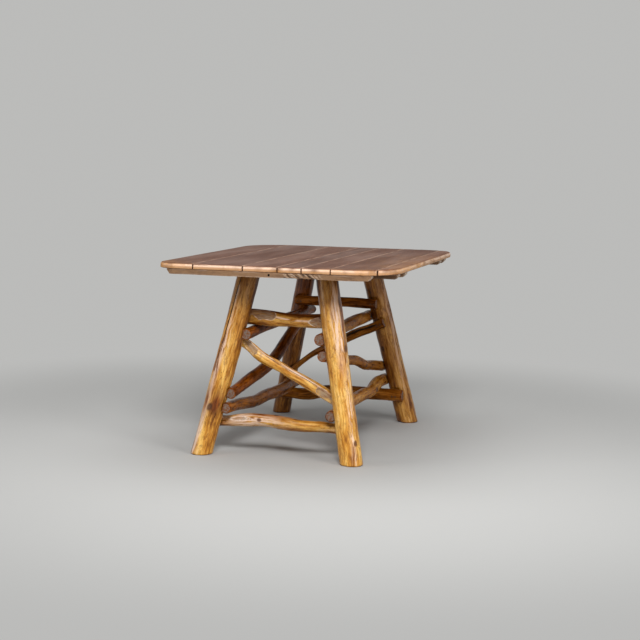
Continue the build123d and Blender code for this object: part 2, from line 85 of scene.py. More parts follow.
class Noise:
    """Smooth gradient noise in three dimensions, the same on every run."""

    CELLS = 256

    def __init__(self, seed: int) -> None:
        """Shuffles the cells and their slopes with a seed."""
        chance = np.random.default_rng(seed)
        self.order = np.concatenate([chance.permutation(self.CELLS)] * 2)
        self.slopes = unit(chance.normal(size=(self.CELLS, 3)))

    def at(self, points: np.ndarray) -> np.ndarray:
        """The noise at points.

        Args:
            points: an array whose last axis holds x, y and z, in cells.

        Returns:
            An array without that last axis, of values from about -0.7 to 0.7.
        """
        cell = np.floor(points).astype(int)
        local = points - cell
        cell &= self.CELLS - 1
        fade = local**3 * (local * (local * 6.0 - 15.0) + 10.0)
        total = np.zeros(points.shape[:-1])
        for corner in np.ndindex(2, 2, 2):
            i, j, k = ((cell[..., axis] + corner[axis]) % self.CELLS for axis in range(3))
            slope = self.slopes[self.order[self.order[self.order[i] + j] + k]]
            share = np.prod(np.where(corner, fade, 1.0 - fade), axis=-1)
            total += share * np.sum(slope * (local - corner), axis=-1)
        return total

    def rough(self, points: np.ndarray, octaves: int = 3) -> np.ndarray:
        """Noise at several sizes, each half as large and half as strong as the one before."""
        return sum(self.at(points * 2.0**step) / 2.0**step for step in range(octaves))

    def along(self, line: np.ndarray, y: float, z: float) -> np.ndarray:
        """The noise at places on a line that runs in x."""
        return self.at(np.stack([line, 0.0 * line + y, 0.0 * line + z], axis=-1))


class Wiring:
    """A hand that adds nodes to a node tree and joins them."""

    def __init__(self, tree: bpy.types.NodeTree) -> None:
        """Works on a tree."""
        self.tree = tree

    def add(self, kind: str, settings: dict[str, Any] | None = None, **inputs: Any) -> bpy.types.Node:
        """Adds a node.

        Args:
            kind: the node's type.
            settings: properties to set on it.
            inputs: a value or another node's output for each input, by its name with underscores for spaces,
                or by its number after an underscore.

        Returns:
            The node.
        """
        node = self.tree.nodes.new(kind)
        for name, value in (settings or {}).items():
            setattr(node, name, value)
        for key, value in inputs.items():
            socket = node.inputs[int(key[1:])] if key[0] == "_" else node.inputs[key.replace("_", " ")]
            if isinstance(value, Socket):
                self.tree.links.new(value, socket)
            else:
                socket.default_value = value
        return node

    def math(self, operation: str, first: Any, second: Any = 0.0) -> Socket:
        """The result of a sum on numbers."""
        return self.add("ShaderNodeMath", {"operation": operation}, _0=first, _1=second).outputs[0]

    def weigh(self, *parts: tuple[Any, float]) -> Socket:
        """The sum of several values, each times its weight."""
        total, *others = [self.math("MULTIPLY", value, weight) for value, weight in parts]
        for other in others:
            total = self.math("ADD", total, other)
        return total

    def vector(self, operation: str, first: Any, second: Any = (0.0, 0.0, 0.0)) -> Socket:
        """The result of a sum on vectors."""
        return self.add("ShaderNodeVectorMath", {"operation": operation}, _0=first, _1=second).outputs[0]

    def length(self, vector: Any) -> Socket:
        """A vector's length."""
        return self.add("ShaderNodeVectorMath", {"operation": "LENGTH"}, _0=vector).outputs["Value"]

    def noise(
        self, vector: Any, scale: float, detail: float = 3.0, rough: float = 0.5, along: float = 1.0
    ) -> Socket:
        """Noise from 0 to 1 at a vector, drawn out along Z where along is less than 1."""
        if along != 1.0:
            vector = self.vector("MULTIPLY", vector, (1.0, 1.0, along))
        node = self.add("ShaderNodeTexNoise", Vector=vector, Scale=scale, Detail=detail, Roughness=rough)
        return node.outputs[0]

    def seen(self) -> Socket:
        """1 for a ray from the camera, from a gloss or through glass, and 0 for one that gathers light."""
        rays = self.add("ShaderNodeLightPath").outputs
        seen = self.math("MAXIMUM", rays["Is Camera Ray"], rays["Is Glossy Ray"])
        return self.math("MAXIMUM", seen, rays["Is Transmission Ray"])


class Shader(Wiring):
    """A material's nodes."""

    COAT_ROUGHNESS = 0.22

    def __init__(self, name: str) -> None:
        """Starts an empty material."""
        self.material = bpy.data.materials.new(name)
        self.material.use_nodes = True
        self.material.node_tree.nodes.clear()
        super().__init__(self.material.node_tree)

    def grain(self) -> Socket:
        """Each point's place in the log that it was cut from, with Z along the fibres."""
        return self.add("ShaderNodeAttribute", {"attribute_name": "grain"}).outputs["Vector"]

    def level(self, name: str) -> Socket:
        """The number in one of the piece's own attributes."""
        return self.add("ShaderNodeAttribute", {"attribute_name": name}).outputs["Fac"]

    def between(self, value: Any, low: float, high: float, start: float = 0.0, end: float = 1.0) -> Socket:
        """A value brought from one range to another, and held inside it."""
        smooth = {"interpolation_type": "SMOOTHSTEP"}
        return self.add("ShaderNodeMapRange", smooth, _0=value, _1=low, _2=high, _3=start, _4=end).outputs[0]

    def blend(self, share: Any, first: Any, second: Any) -> Socket:
        """Two colours mixed by a share of the second."""
        first, second = ((*one, 1.0) if isinstance(one, tuple) else one for one in (first, second))
        return self.add("ShaderNodeMix", {"data_type": "RGBA"}, _0=share, _6=first, _7=second).outputs[2]

    def lay(self, under: Any, over: Any, mask: Any, low: float, high: float, most: float = 1.0) -> Socket:
        """One colour laid over another where a mask rises from low to high, up to a share of it."""
        return self.blend(self.between(mask, low, high, 0.0, most), under, over)

    def tint(self, share: Any, stops: list[tuple[float, Colour]]) -> Socket:
        """A colour from a row of stops."""
        node = self.add("ShaderNodeValToRGB", Fac=share)
        ramp = node.color_ramp
        for number, (place, colour) in enumerate(stops):
            stop = ramp.elements[number] if number < 2 else ramp.elements.new(place)
            stop.position = place
            stop.color = (*colour, 1.0)
        return node.outputs["Color"]

    def surface(
        self, colour: Any, roughness: Any, height: Any, depth: float, coat: float, specular: float,
        metallic: float = 0.0,
    ) -> Socket:
        """The surface.

        Args:
            colour: the base colour.
            roughness: the surface's roughness.
            height: the height that the bump follows, from 0 to 1.
            depth: the bump's depth in metres.
            coat: the weight of the clear coat.
            specular: the specular level.
            metallic: near 1 on metal.

        Returns:
            The shader.
        """
        bump = self.add("ShaderNodeBump", Height=height, Distance=depth, Strength=1.0).outputs[0]
        node = self.add("ShaderNodeBsdfPrincipled", Base_Color=colour, Roughness=roughness, Metallic=metallic,
                        Normal=bump)
        node.inputs["Coat Weight"].default_value = coat
        node.inputs["Coat Roughness"].default_value = self.COAT_ROUGHNESS
        node.inputs["Specular IOR Level"].default_value = specular
        return node.outputs[0]

    def end(self, surface: Socket) -> bpy.types.Material:
        """Ends the material with its surface."""
        self.add("ShaderNodeOutputMaterial", Surface=surface)
        return self.material


@dataclass(frozen=True)
class PoleFinish:
    """Peeled hickory under varnish: fibres along the pole, stain and painted shade in patches, knots, checks
    and sawn ends, with painted highlights on pale streaks and along the edges of facets.
    """

    name: str
    honey: Tones = ((0.88, 0.53, 0.130), (0.60, 0.258, 0.030), (0.185, 0.050, 0.004))
    russet: Tones = ((0.31, 0.083, 0.005), (0.125, 0.027, 0.001), (0.027, 0.005, 0.0005))
    # Pale wood for the bleached streaks, which also serve as painted highlights.
    bleached_and_highlit: tuple[Colour, Colour] = ((0.82, 0.61, 0.48), (0.34, 0.135, 0.038))  # on honey and on russet
    cut: Colour = (0.35, 0.245, 0.155)  # a whittled facet
    sawn: Colour = (0.165, 0.122, 0.104)  # an end
    # A painted highlight along the edges of a facet.
    rubbed_and_highlit: Colour = (0.85, 0.71, 0.58)  # the edges of a facet
    knot: Colour = (0.075, 0.030, 0.012)
    # Near black: painted shade inside the checks.
    shaded_check: Colour = (0.018, 0.008, 0.004)
    coat: float = 0.18
    specular: float = 0.26
    relief: float = 0.42 * MM  # of the fibres, as bump

    TONE_STOPS = (0.37, 0.47, 0.60)  # where the dark, middle and pale tones stand
    KNOT_RINGS = 19.0  # radians of a wave of rings, from a knot's rim to its middle

    def make(self) -> bpy.types.Material:
        """The material."""
        wood = Shader(self.name)
        grain = self.swaying_grain(wood)
        patches = wood.noise(grain, 30.0, 3.0, 0.55, along=0.22)
        streaks = wood.noise(grain, 120.0, 4.0, 0.62, along=0.09)
        fibres = wood.noise(grain, 480.0, 3.0, 0.6, along=0.04)
        flecks = wood.noise(grain, 260.0, 4.0, 0.72, along=0.16)
        mottle = wood.noise(grain, 85.0, 5.0, 0.68, along=0.42)
        # Russet where the wood is stained, and painted shade at the heads of the legs and at the rails' ends
        # beside them.
        stain_and_shade = wood.level("stain_and_shade")
        body = wood.weigh((patches, 0.55), (streaks, 0.45))
        tones = [
            wood.tint(body, list(zip(self.TONE_STOPS, colours[::-1])))
            for colours in (self.honey, self.russet)
        ]
        colour = wood.blend(stain_and_shade, *tones)
        darks = wood.blend(stain_and_shade, self.honey[2], self.russet[2])
        from_line = wood.math("ABSOLUTE", wood.math("SUBTRACT", streaks, 0.47))
        lines = wood.between(from_line, 0.0, 0.016, 1.0, 0.0)
        lines = wood.math("MULTIPLY", lines, wood.between(patches, 0.42, 0.56))
        colour = wood.blend(wood.math("MULTIPLY", lines, 0.65), colour, darks)
        colour = wood.lay(colour, darks, fibres, 0.46, 0.66, 0.30)
        colour = wood.lay(colour, darks, flecks, 0.57, 0.68, 0.75)
        colour = wood.lay(colour, darks, mottle, 0.53, 0.63, 0.55)
        # Pale streaks: bleached wood and painted highlights, from the patches and from pale noise.
        pale = wood.math("ADD", wood.level("bleach_and_highlight"), wood.between(patches, 0.56, 0.72, 0.0, 0.35))
        pale = wood.math("MULTIPLY", pale, wood.between(streaks, 0.40, 0.56))
        colour = wood.lay(colour, wood.blend(stain_and_shade, *self.bleached_and_highlit), pale, 0.0, 1.0, 0.85)
        colour = self.add_cuts(wood, colour, grain, darks)
        colour = self.add_knots(wood, colour, darks)
        bare = wood.math("MAXIMUM", wood.level("end"), wood.level("facet"))
        roughness = wood.weigh((wood.between(streaks, 0.35, 0.65, 0.26, 0.44), 1.0), (bare, 0.28))
        height = wood.weigh((fibres, 0.45), (streaks, 0.55))
        return wood.end(wood.surface(colour, roughness, height, self.relief, self.coat, self.specular))

    def swaying_grain(self, wood: Shader) -> Socket:
        """The grain, swaying to either side as the fibres of a crooked pole do."""
        grain = wood.grain()
        drawn = wood.vector("MULTIPLY", grain, (1.0, 1.0, 0.6))
        bend = wood.add("ShaderNodeTexNoise", Vector=drawn, Scale=16.0, Detail=2.0).outputs["Color"]
        bend = wood.vector("SUBTRACT", bend, (0.5, 0.5, 0.5))
        return wood.vector("ADD", grain, wood.vector("MULTIPLY", bend, (0.016, 0.016, 0.03)))

    def add_cuts(self, wood: Shader, colour: Socket, grain: Socket, darks: Socket) -> Socket:
        """Lays facets, sawn ends and a painted highlight along the edges of facets over a colour.

        Args:
            wood: the material's nodes.
            colour: the colour so far.
            grain: each point's place in the log.
            darks: the colour of its dark fibres.

        Returns:
            The new colour.
        """
        stripes = wood.noise(grain, 330.0, 4.0, 0.6, along=0.08)
        cut = wood.lay(self.cut, darks, stripes, 0.42, 0.62, 0.65)
        cut = wood.blend(wood.math("MULTIPLY", wood.level("stain_and_shade"), 0.75), cut, self.honey[2])
        bare = wood.between(wood.noise(grain, 60.0, along=0.3), 0.40, 0.60, 0.35, 0.95)
        colour = wood.blend(wood.math("MULTIPLY", wood.level("facet"), bare), colour, cut)
        rings = wood.add("ShaderNodeTexWave", {"wave_type": "RINGS", "rings_direction": "Z"}, Vector=grain,
                         Scale=130.0, Distortion=3.0, Detail=3.0, Detail_Scale=1.2).outputs[0]
        sawn = wood.blend(wood.math("MULTIPLY", rings, 0.30), self.sawn, self.cut)
        sawn = wood.lay(sawn, self.honey[2], wood.noise(grain, 160.0, 4.0), 0.42, 0.62, 0.80)
        colour = wood.blend(wood.level("end"), colour, sawn)
        # A painted highlight along the edges of the facets.
        patchy_highlight = wood.between(wood.noise(grain, 110.0, 2.0, along=0.6), 0.44, 0.58, 0.15, 0.90)
        return wood.blend(wood.math("MULTIPLY", wood.level("arris"), patchy_highlight), colour, self.rubbed_and_highlit)

    def add_knots(self, wood: Shader, colour: Socket, darks: Socket) -> Socket:
        """Lays ringed knots, and painted shade inside the checks, over a colour."""
        knot = wood.level("knot")
        ring = wood.math("SINE", wood.math("MULTIPLY", knot, self.KNOT_RINGS))
        ringed = wood.lay(self.knot, darks, ring, -1.0, 1.0)
        colour = wood.lay(colour, ringed, knot, 0.2, 0.7, 0.92)
        # Painted shade inside the checks.
        return wood.lay(colour, self.shaded_check, wood.level("shaded_check"), 0.12, 0.55, 0.96)


@dataclass(frozen=True)
class BoardFinish:
    """Sawn wood: growth rings about the heart of the log that it was cut from, worn along its edges. On the
    top it carries a painted highlight along the rounded rim, and painted shade down the seams and in a nail
    hole.
    """

    name: str
    pale: Colour
    middle: Colour
    dark: Colour
    # Pale: wear, and on the top's rim a painted highlight.
    worn_and_highlit: Colour
    warm: Colour
    rough: float
    specular: float
    # Near black: grime in the gouges, and painted shade down the seams and in the nail hole.
    grime_and_shade: Colour = (0.016, 0.010, 0.007)

    RINGS = 420.0  # growth rings in a metre
    DRIFT = 14.0  # how many rings the grain strays by
    RELIEF = 0.3 * MM  # of the fibres, as bump

    def make(self) -> bpy.types.Material:
        """The material."""
        wood = Shader(self.name)
        grain = wood.grain()
        from_heart = wood.length(wood.vector("MULTIPLY", grain, (1.0, 1.0, 0.0)))
        drift = wood.noise(grain, 16.0, 2.0, along=0.10)
        late = wood.math("FRACT", wood.weigh((from_heart, self.RINGS), (drift, self.DRIFT)))
        late = wood.between(late, 0.25, 0.98)
        fibres = wood.noise(grain, 620.0, 3.0, 0.6, along=0.02)
        pores = wood.noise(grain, 1500.0, 2.0, 0.6, along=0.035)
        patches = wood.noise(grain, 10.0, 3.0, along=0.20)
        wear = wood.level("wear")
        body = wood.weigh((late, 0.14), (fibres, 0.46), (patches, 0.40), (wood.level("tone"), 1.0))
        colour = wood.tint(body, [(0.32, self.pale), (0.50, self.middle), (0.70, self.dark)])
        colour = wood.lay(colour, self.dark, pores, 0.54, 0.66, 0.6)
        # The worn colour where edges are worn, and as a painted highlight along the top's rim.
        rubbed_and_highlit = wood.math("MULTIPLY", wear, wood.between(fibres, 0.30, 0.60, 1.0, 0.82))
        colour = wood.blend(rubbed_and_highlit, colour, self.worn_and_highlit)
        warm = wood.math("MULTIPLY", wood.level("warmth"), wood.between(fibres, 0.30, 0.62, 1.0, 0.40))
        colour = wood.blend(warm, colour, self.warm)
        # Grime, and painted shade down the seams and in the nail hole.
        colour = wood.lay(colour, self.grime_and_shade, wood.level("grime_and_shade"), 0.1, 0.9, 0.95)
        matt = wood.between(patches, 0.3, 0.7, self.rough - 0.07, self.rough + 0.08)
        roughness = wood.weigh((matt, 1.0), (wear, -0.10))
        height = wood.weigh((fibres, 0.8), (pores, -0.5))
        return wood.end(wood.surface(colour, roughness, height, self.RELIEF, 0.0, self.specular))


@dataclass(frozen=True)
class SteelFinish:
    """Dull steel, scuffed, with rust in patches."""

    name: str
    steel: Colour
    rust: Colour
    rusty: float  # from 0, where rust is rare, to 1, where it covers the steel

    RELIEF = 0.05 * MM  # of the scuffs, as bump

    def make(self) -> bpy.types.Material:
        """The material."""
        metal = Shader(self.name)
        place = metal.add("ShaderNodeTexCoord").outputs["Object"]
        patches = metal.noise(place, 420.0, 4.0, 0.65)
        scuffs = metal.noise(place, 1900.0, 2.0)
        dull = tuple(0.4 * part for part in self.steel)
        colour = metal.lay(self.steel, self.rust, patches, 0.62 - 0.4 * self.rusty, 0.74 - 0.4 * self.rusty)
        colour = metal.lay(colour, dull, scuffs, 0.5, 0.8, 0.4)
        roughness = metal.between(patches, 0.3, 0.7, 0.32, 0.62)
        return metal.end(metal.surface(colour, roughness, scuffs, self.RELIEF, 0.0, 0.5, metallic=0.9))


@dataclass(frozen=True)
class FloorFinish:
    """A plain pale floor that turns into an evenly pale backdrop away from the table."""

    name: str
    paint: Colour
    far: Colour

    FADE = (1.0, 2.6)  # how far from the floor's middle the paint starts to turn into the backdrop, and ends

    def make(self) -> bpy.types.Material:
        """The material."""
        floor = Shader(self.name)
        place = floor.add("ShaderNodeTexCoord").outputs["Object"]
        cloud = floor.noise(place, 1.3, 2.0)
        colour = floor.blend(cloud, tuple(0.98 * part for part in self.paint), self.paint)
        lit = floor.surface(colour, 0.8, cloud, 0.0, 0.0, 0.15)
        glow = floor.add("ShaderNodeEmission", Color=(*self.far, 1.0)).outputs[0]
        away = floor.between(floor.length(place), *self.FADE)
        share = floor.math("MULTIPLY", away, floor.seen())
        return floor.end(floor.add("ShaderNodeMixShader", _0=share, _1=lit, _2=glow).outputs[0])


class Slot(Enum):
    """The record's material slots."""

    BOARD = "board"
    BATTEN = "batten"
    LEG = "leg_log"
    FRONT_BRANCH = "front_branch"
    INNER_BRANCH = "inner_branch"
    NAIL = "nail"
    SCREW = "screw"


FINISHES = {
    Slot.BOARD: BoardFinish(
        "board_varnish", pale=(0.176, 0.063, 0.026), middle=(0.102, 0.033, 0.013), dark=(0.042, 0.013, 0.005),
        worn_and_highlit=(0.96, 0.67, 0.49), warm=(0.68, 0.32, 0.080), rough=0.42, specular=0.11,
    ),
    Slot.BATTEN: BoardFinish(
        "batten_sawn", pale=(0.25, 0.142, 0.074), middle=(0.125, 0.063, 0.031), dark=(0.042, 0.020, 0.010),
        worn_and_highlit=(0.64, 0.50, 0.39), warm=(0.24, 0.12, 0.05), rough=0.62, specular=0.20,
    ),
    Slot.LEG: PoleFinish("leg_varnish"),
    Slot.FRONT_BRANCH: PoleFinish("front_branch_varnish"),
    Slot.INNER_BRANCH: PoleFinish(
        "inner_branch_varnish", honey=((0.82, 0.44, 0.090), (0.56, 0.21, 0.020), (0.17, 0.044, 0.003)),
        coat=0.0, specular=0.08, relief=0.22 * MM,
    ),
    Slot.NAIL: SteelFinish("nail_steel", steel=(0.30, 0.28, 0.26), rust=(0.12, 0.05, 0.02), rusty=0.85),
    Slot.SCREW: SteelFinish("screw_steel", steel=(0.46, 0.44, 0.42), rust=(0.16, 0.08, 0.04), rusty=0.2),
}


class Solid:
    """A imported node's surface, as arrays and as a tree for rays."""

    FACING = 0.75  # the least cosine between the way that an end looks and the way that is asked for
    LEVEL = 0.9998  # the least cosine between the normals of one flat face
    SLIVER = 1e-10  # the least area of a triangle that counts, in square metres

    def __init__(self, node: str) -> None:
        """Reads a node."""
        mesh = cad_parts[node].data
        mesh.calc_loop_triangles()
        self.points = np.empty(len(mesh.vertices) * 3, np.float32)
        mesh.vertices.foreach_get("co", self.points)
        self.points = self.points.reshape(-1, 3).astype(float)
        self.faces = np.empty(len(mesh.loop_triangles) * 3, np.int32)
        mesh.loop_triangles.foreach_get("vertices", self.faces)
        self.faces = self.faces.reshape(-1, 3)
        self.tree = BVHTree.FromPolygons(self.points.tolist(), self.faces.tolist())

    def long_axis(self) -> np.ndarray:
        """The direction in which the points spread most."""
        return np.linalg.svd(self.points - self.points.mean(0), full_matrices=False)[2][0]

    def end_face(self, direction: np.ndarray) -> tuple[np.ndarray, np.ndarray]:
        """The largest flat face that looks along a direction.

        Args:
            direction: the way that it looks, to within about 40 degrees.

        Returns:
            The middle of the face, and its outward normal.
        """
        a, b, c = (self.points[self.faces[:, corner]] for corner in range(3))
        cross = np.cross(b - a, c - a)
        area = np.linalg.norm(cross, axis=1)
        normal = cross / np.maximum(area, 1e-12)[:, None]
        picked = (normal @ direction > self.FACING) & (area > self.SLIVER)
        normal, area, middle = normal[picked], area[picked], ((a + b + c) / 3.0)[picked]
        offset = np.sum(normal * middle, axis=1)
        same = (normal @ normal.T > self.LEVEL) & (np.abs(middle @ normal.T - offset[None, :]) < 0.1 * MM)
        best = np.argmax(same.T @ area)
        group = same[:, best]
        return np.average(middle[group], axis=0, weights=area[group]), normal[best]


@dataclass(frozen=True)
class Knot:
    """The stub of a twig, grown over: a swelling with a sunk middle."""

    place: float  # share of the pole's length, from its start
    turn: float  # about the pole, in turns
    size: float  # radius in metres
    rise: float


@dataclass(frozen=True)
class Check:
    """A long drying crack that follows the fibres."""

    start: float  # share of the pole's length
    end: float
    turn: float
    width: float = 3.5 * MM  # half of it, where the crack gapes most
    depth: float = 4.0 * MM


@dataclass(frozen=True)
class Facet:
    """A flat whittled with a knife."""

    place: float
    turn: float
    length: float  # half of it, in metres
    depth: float
    slope: float = 1.0  # the share of that half over which the cut runs out; less gives it a shoulder


@dataclass(frozen=True)
class Patch:
    """A long patch where the wood is darker or paler, or stands out. The darkening carries stain and painted
    shade, and the paling carries bleaching and painted highlights.
    """

    place: float
    turn: float
    length: float  # half of it, in metres
    width: float  # half of it, in metres
    # darkening: stain and painted shade
    stain_and_shade: float = 0.0
    # paling: bleaching and painted highlight
    bleach_and_highlight: float = 0.0
    rise: float = 0.0


@dataclass
class Pole:
    """A log or branch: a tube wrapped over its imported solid, then given lumps, knots, checks and facets.

    A pole starts at its foot, its left end or its front end. Turn 0 is the front of a leg and the upper side
    of a stretcher. A quarter turn is to the right on a leg, to the front on a stretcher that runs across the
    table, and to the right on one that runs along it.
    """

    node: str
    slot: Slot
    knots: tuple[Knot, ...] = ()
    checks: tuple[Check, ...] = ()
    facets: tuple[Facet, ...] = ()
    patches: tuple[Patch, ...] = ()
    stain_and_shade: float = 0.0  # from honey, at 0, to russet, at 1
    lump: float = 1.5 * MM
    lump_size: float = 0.05
    flute: float = 0.5 * MM
    twist: float = 0.12  # turns that the fibres make along the pole
    edge: float = 2.5 * MM  # rounding of the ends
    upright: bool = False
    coarse: float = 1.0  # the share of the usual steps between the mesh's rows and columns
    seed: int = 1

    RING_STEP = 3.0 * MM
    COLUMN_STEP = 2.7 * MM
    TRACE_STEP = 6.0 * MM  # between points of the centre line
    MOST_STEPS = 400
    FEELERS = 24  # rays about the centre line that find the solid's middle
    REACH = 0.075  # from the centre line to where a ray starts, outside the solid
    SQUARING = (4.0 * MM, 30.0 * MM)  # how far from an end rows follow its face, and where they are square
    LEG_RADIUS = 0.043
    BRANCH_RADIUS = 0.025
    CAP_ROWS = (0.12, 0.3, 0.5, 0.7, 0.86)  # the rows on an end's flat face, as shares of its radius
    CHECK_COLUMNS = (-1.0, -0.6, -0.25, 0.0, 0.25, 0.6, 1.0)  # a check's, as shares of half its width
    NEIGHBOURS = 3  # how many rows and columns to each side a radius is compared with
    SPIKE = 0.8 * MM  # a dip or spike deeper than this is a nail's hole, and is filled
    NOISE_RADIUS = 0.045  # of the tube on which the lumps and flutes are drawn
    DRAWN_OUT = np.array((1.0, 1.0, 0.12))  # what follows the fibres is this much longer than wide
    FACET_SIDES = 0.2  # how far a facet can reach about the pole, in turns
    ARRIS = 0.6 * MM  # how near to a facet's edge the painted highlight runs
    END_STAIN = 0.8  # of the rounded edge of an end
    LEAST_RADIUS = 2.0 * MM
    SHARP = math.radians(38.0)
    FIBRES = {"Height": 0.5 * MM, "Size": 70.0, "Stretch": 0.16}

    def make(self) -> Piece:
        """The finished piece."""
        self.noise = Noise(self.seed)
        self.solid = Solid(self.node)
        self.find_centre_line()
        self.lay_out_rows()
        self.lay_out_columns()
        self.measure_radii()
        return self.skin(self.carve())

    def ray(self, middle: np.ndarray, outward: np.ndarray) -> float:
        """The distance from a point inside to the surface, seen from outside, or nan."""
        start = middle + outward * self.REACH
        hit = self.solid.tree.ray_cast(start, -outward, self.REACH)
        return self.REACH - hit[3] if hit[0] is not None else math.nan

    def across(self, way: np.ndarray) -> tuple[np.ndarray, np.ndarray]:
        """The two directions across a way: that of turn 0, and that of a quarter turn."""
        quarter = unit(np.cross(way, FRONT if self.upright else UP))
        return np.cross(quarter, way), quarter

    def centred(self, guess: np.ndarray, heading: np.ndarray) -> np.ndarray:
        """A guessed point of the centre line, moved to the middle of what the feelers reach."""
        one, other = self.across(UP if self.upright else heading)
        turns = np.linspace(0.0, FULL_TURN, self.FEELERS, endpoint=False)
        ways = np.cos(turns)[:, None] * one + np.sin(turns)[:, None] * other
        reach = np.array([self.ray(guess, way) for way in ways])
        usual = np.nanmedian(reach)
        reach = np.where(np.abs(reach - usual) < 0.6 * usual, reach, usual)
        return guess + 1.4 * np.mean(reach[:, None] * ways, axis=0)

    def find_centre_line(self) -> None:
        """Walks from end to end and notes the middle of the solid at each step."""
        along = self.solid.long_axis()
        if along @ (UP if self.upright else ONWARD) < 0:
            along = -along
        start, start_normal = self.solid.end_face(-along)
        end, self.end_way = self.solid.end_face(along)
        self.start_way = -start_normal
        heading = along if self.upright else self.start_way
        line = [start]
        for _ in range(self.MOST_STEPS):
            if np.linalg.norm(end - line[-1]) < self.TRACE_STEP * 1.2:
                break
            step = self.centred(line[-1] + heading * self.TRACE_STEP, heading)
            heading = unit(0.7 * heading + 0.3 * unit(step - line[-1]))
            line.append(step)
        line = np.array([*line, end])
        for _ in range(6):
            line[1:-1] = (line[:-2] + 2.0 * line[1:-1] + line[2:]) / 4.0
        self.line = line
        self.line_places = np.concatenate([[0.0], np.cumsum(np.linalg.norm(np.diff(line, axis=0), axis=1))])
        self.length = self.line_places[-1]

    def middle_at(self, places: np.ndarray) -> np.ndarray:
        """Points of the centre line at distances along it."""
        return np.stack([np.interp(places, self.line_places, part) for part in self.line.T], axis=-1)

    def lay_out_rows(self) -> None:
        """Chooses the rows: their places, insets at the rounded ends, and shares of the radius."""
        count = int(self.length / (self.RING_STEP * self.coarse))
        inner = np.linspace(self.edge, self.length - self.edge, count)
        bend = np.linspace(0.0, math.pi / 2.0, 5)[:-1]
        cap = np.array(self.CAP_ROWS)
        rows = np.concatenate([0.0 * cap, self.edge * (1.0 - np.cos(bend))])
        inset = np.concatenate([0.0 * cap + self.edge, self.edge * (1.0 - np.sin(bend))])
        share = np.concatenate([cap, 0.0 * bend + 1.0])
        self.rows = np.concatenate([rows, inner, self.length - rows[::-1]])
        self.inset = np.concatenate([inset, 0.0 * inner, inset[::-1]])
        self.share = np.concatenate([share, 0.0 * inner + 1.0, share[::-1]])

    def lay_out_columns(self) -> None:
        """Chooses the columns about the pole, more of them in each check, and lets them twist and sway."""
        girth = FULL_TURN * (self.LEG_RADIUS if self.upright else self.BRANCH_RADIUS)
        columns = list(np.arange(0.0, 1.0, self.COLUMN_STEP * self.coarse / girth))
        for shaded_check in self.checks:
            spread = shaded_check.width / girth
            columns = [column for column in columns if abs(turns_past(column, shaded_check.turn)) > 1.1 * spread]
            columns += [(shaded_check.turn + spread * step) % 1.0 for step in self.CHECK_COLUMNS]
        self.turns = np.array(sorted(columns))
        places = self.rows[:, None] / self.length
        sway = self.twist * (places - 0.5) + 0.05 * self.noise.along(places * 3.0, 0.37, 5.1)
        self.angles = FULL_TURN * (self.turns[None, :] + sway)

    def row_ways(self, places: np.ndarray) -> np.ndarray:
        """The direction that each row is square to."""
        if self.upright:
            return np.tile(UP, (len(places), 1))
        ahead = self.middle_at(np.minimum(places + 8.0 * MM, self.length))
        behind = self.middle_at(np.maximum(places - 8.0 * MM, 0.0))
        near, far = self.SQUARING
        at_start = 1.0 - smooth_step(near, far, self.rows)[:, None]
        at_end = smooth_step(self.length - far, self.length - near, self.rows)[:, None]
        between = unit(ahead - behind) * (1.0 - at_start) * (1.0 - at_end)
        return unit(between + self.start_way * at_start + self.end_way * at_end)

    def measure_radii(self) -> None:
        """Measures the solid's radius at each place of the grid, and fills the holes of nails."""
        places = np.clip(self.rows, 0.6 * MM, self.length - 0.6 * MM)
        self.ways = self.row_ways(places)
        one, other = np.array([self.across(way) for way in self.ways]).transpose(1, 0, 2)
        cosine, sine = np.cos(self.angles)[..., None], np.sin(self.angles)[..., None]
        self.outward = cosine * one[:, None, :] + sine * other[:, None, :]
        self.middles = self.middle_at(self.rows)
        from_here = self.middle_at(places)
        radii = np.empty(self.angles.shape)
        for row in range(len(self.rows)):
            if row and places[row] == places[row - 1]:
                radii[row] = radii[row - 1]
                continue
            for column in range(len(self.turns)):
                radii[row, column] = self.ray(from_here[row], self.outward[row, column])
        self.radii = self.without_spikes(radii)

    def without_spikes(self, radii: np.ndarray) -> np.ndarray:
        """Radii with each value that stands out from its neighbours replaced by their median."""
        half = self.NEIGHBOURS
        wide = np.concatenate([radii[:, -half:], radii, radii[:, :half]], axis=1)
        wide = np.concatenate([wide[:1]] * half + [wide] + [wide[-1:]] * half, axis=0)
        rows, columns = radii.shape
        shifts = np.ndindex(2 * half + 1, 2 * half + 1)
        around = [wide[i : i + rows, j : j + columns] for i, j in shifts]
        usual = np.nanmedian(np.stack(around), axis=0)
        return np.where(np.abs(radii - usual) < self.SPIKE, radii, usual)

    def about(self, place: float, turn: float) -> tuple[np.ndarray, np.ndarray]:
        """Each grid place's distance from a mark, along the pole and about it, in metres."""
        along = (self.rows - place * self.length)[:, None] + 0.0 * self.angles
        return along, FULL_TURN * turns_past(self.turns[None, :], turn) * self.radii

    def carve(self) -> Marks:
        """Cuts and raises the surface.

        Returns:
            For each kind of mark, how much of it there is at each place of the grid.
        """
        round_about = np.stack([np.cos(self.angles), np.sin(self.angles), 0.0 * self.angles], axis=-1)
        self.spot = round_about * self.NOISE_RADIUS
        self.spot[..., 2] += self.rows[:, None]
        self.drawn = self.spot * self.DRAWN_OUT
        lumps = self.noise.rough(self.spot / self.lump_size + self.seed, 2)
        flutes = np.abs(self.noise.rough(self.drawn / 0.011 + 7.0, 2)) * 2.0
        self.carved = self.radii - self.lump * (0.55 + lumps) - self.flute * flutes
        marks = {"end": (self.share < 1.0)[:, None] + 0.0 * self.radii}
        for cut in (self.whittle, self.weather, self.grow_knots, self.open_checks):
            marks |= cut()
        return marks

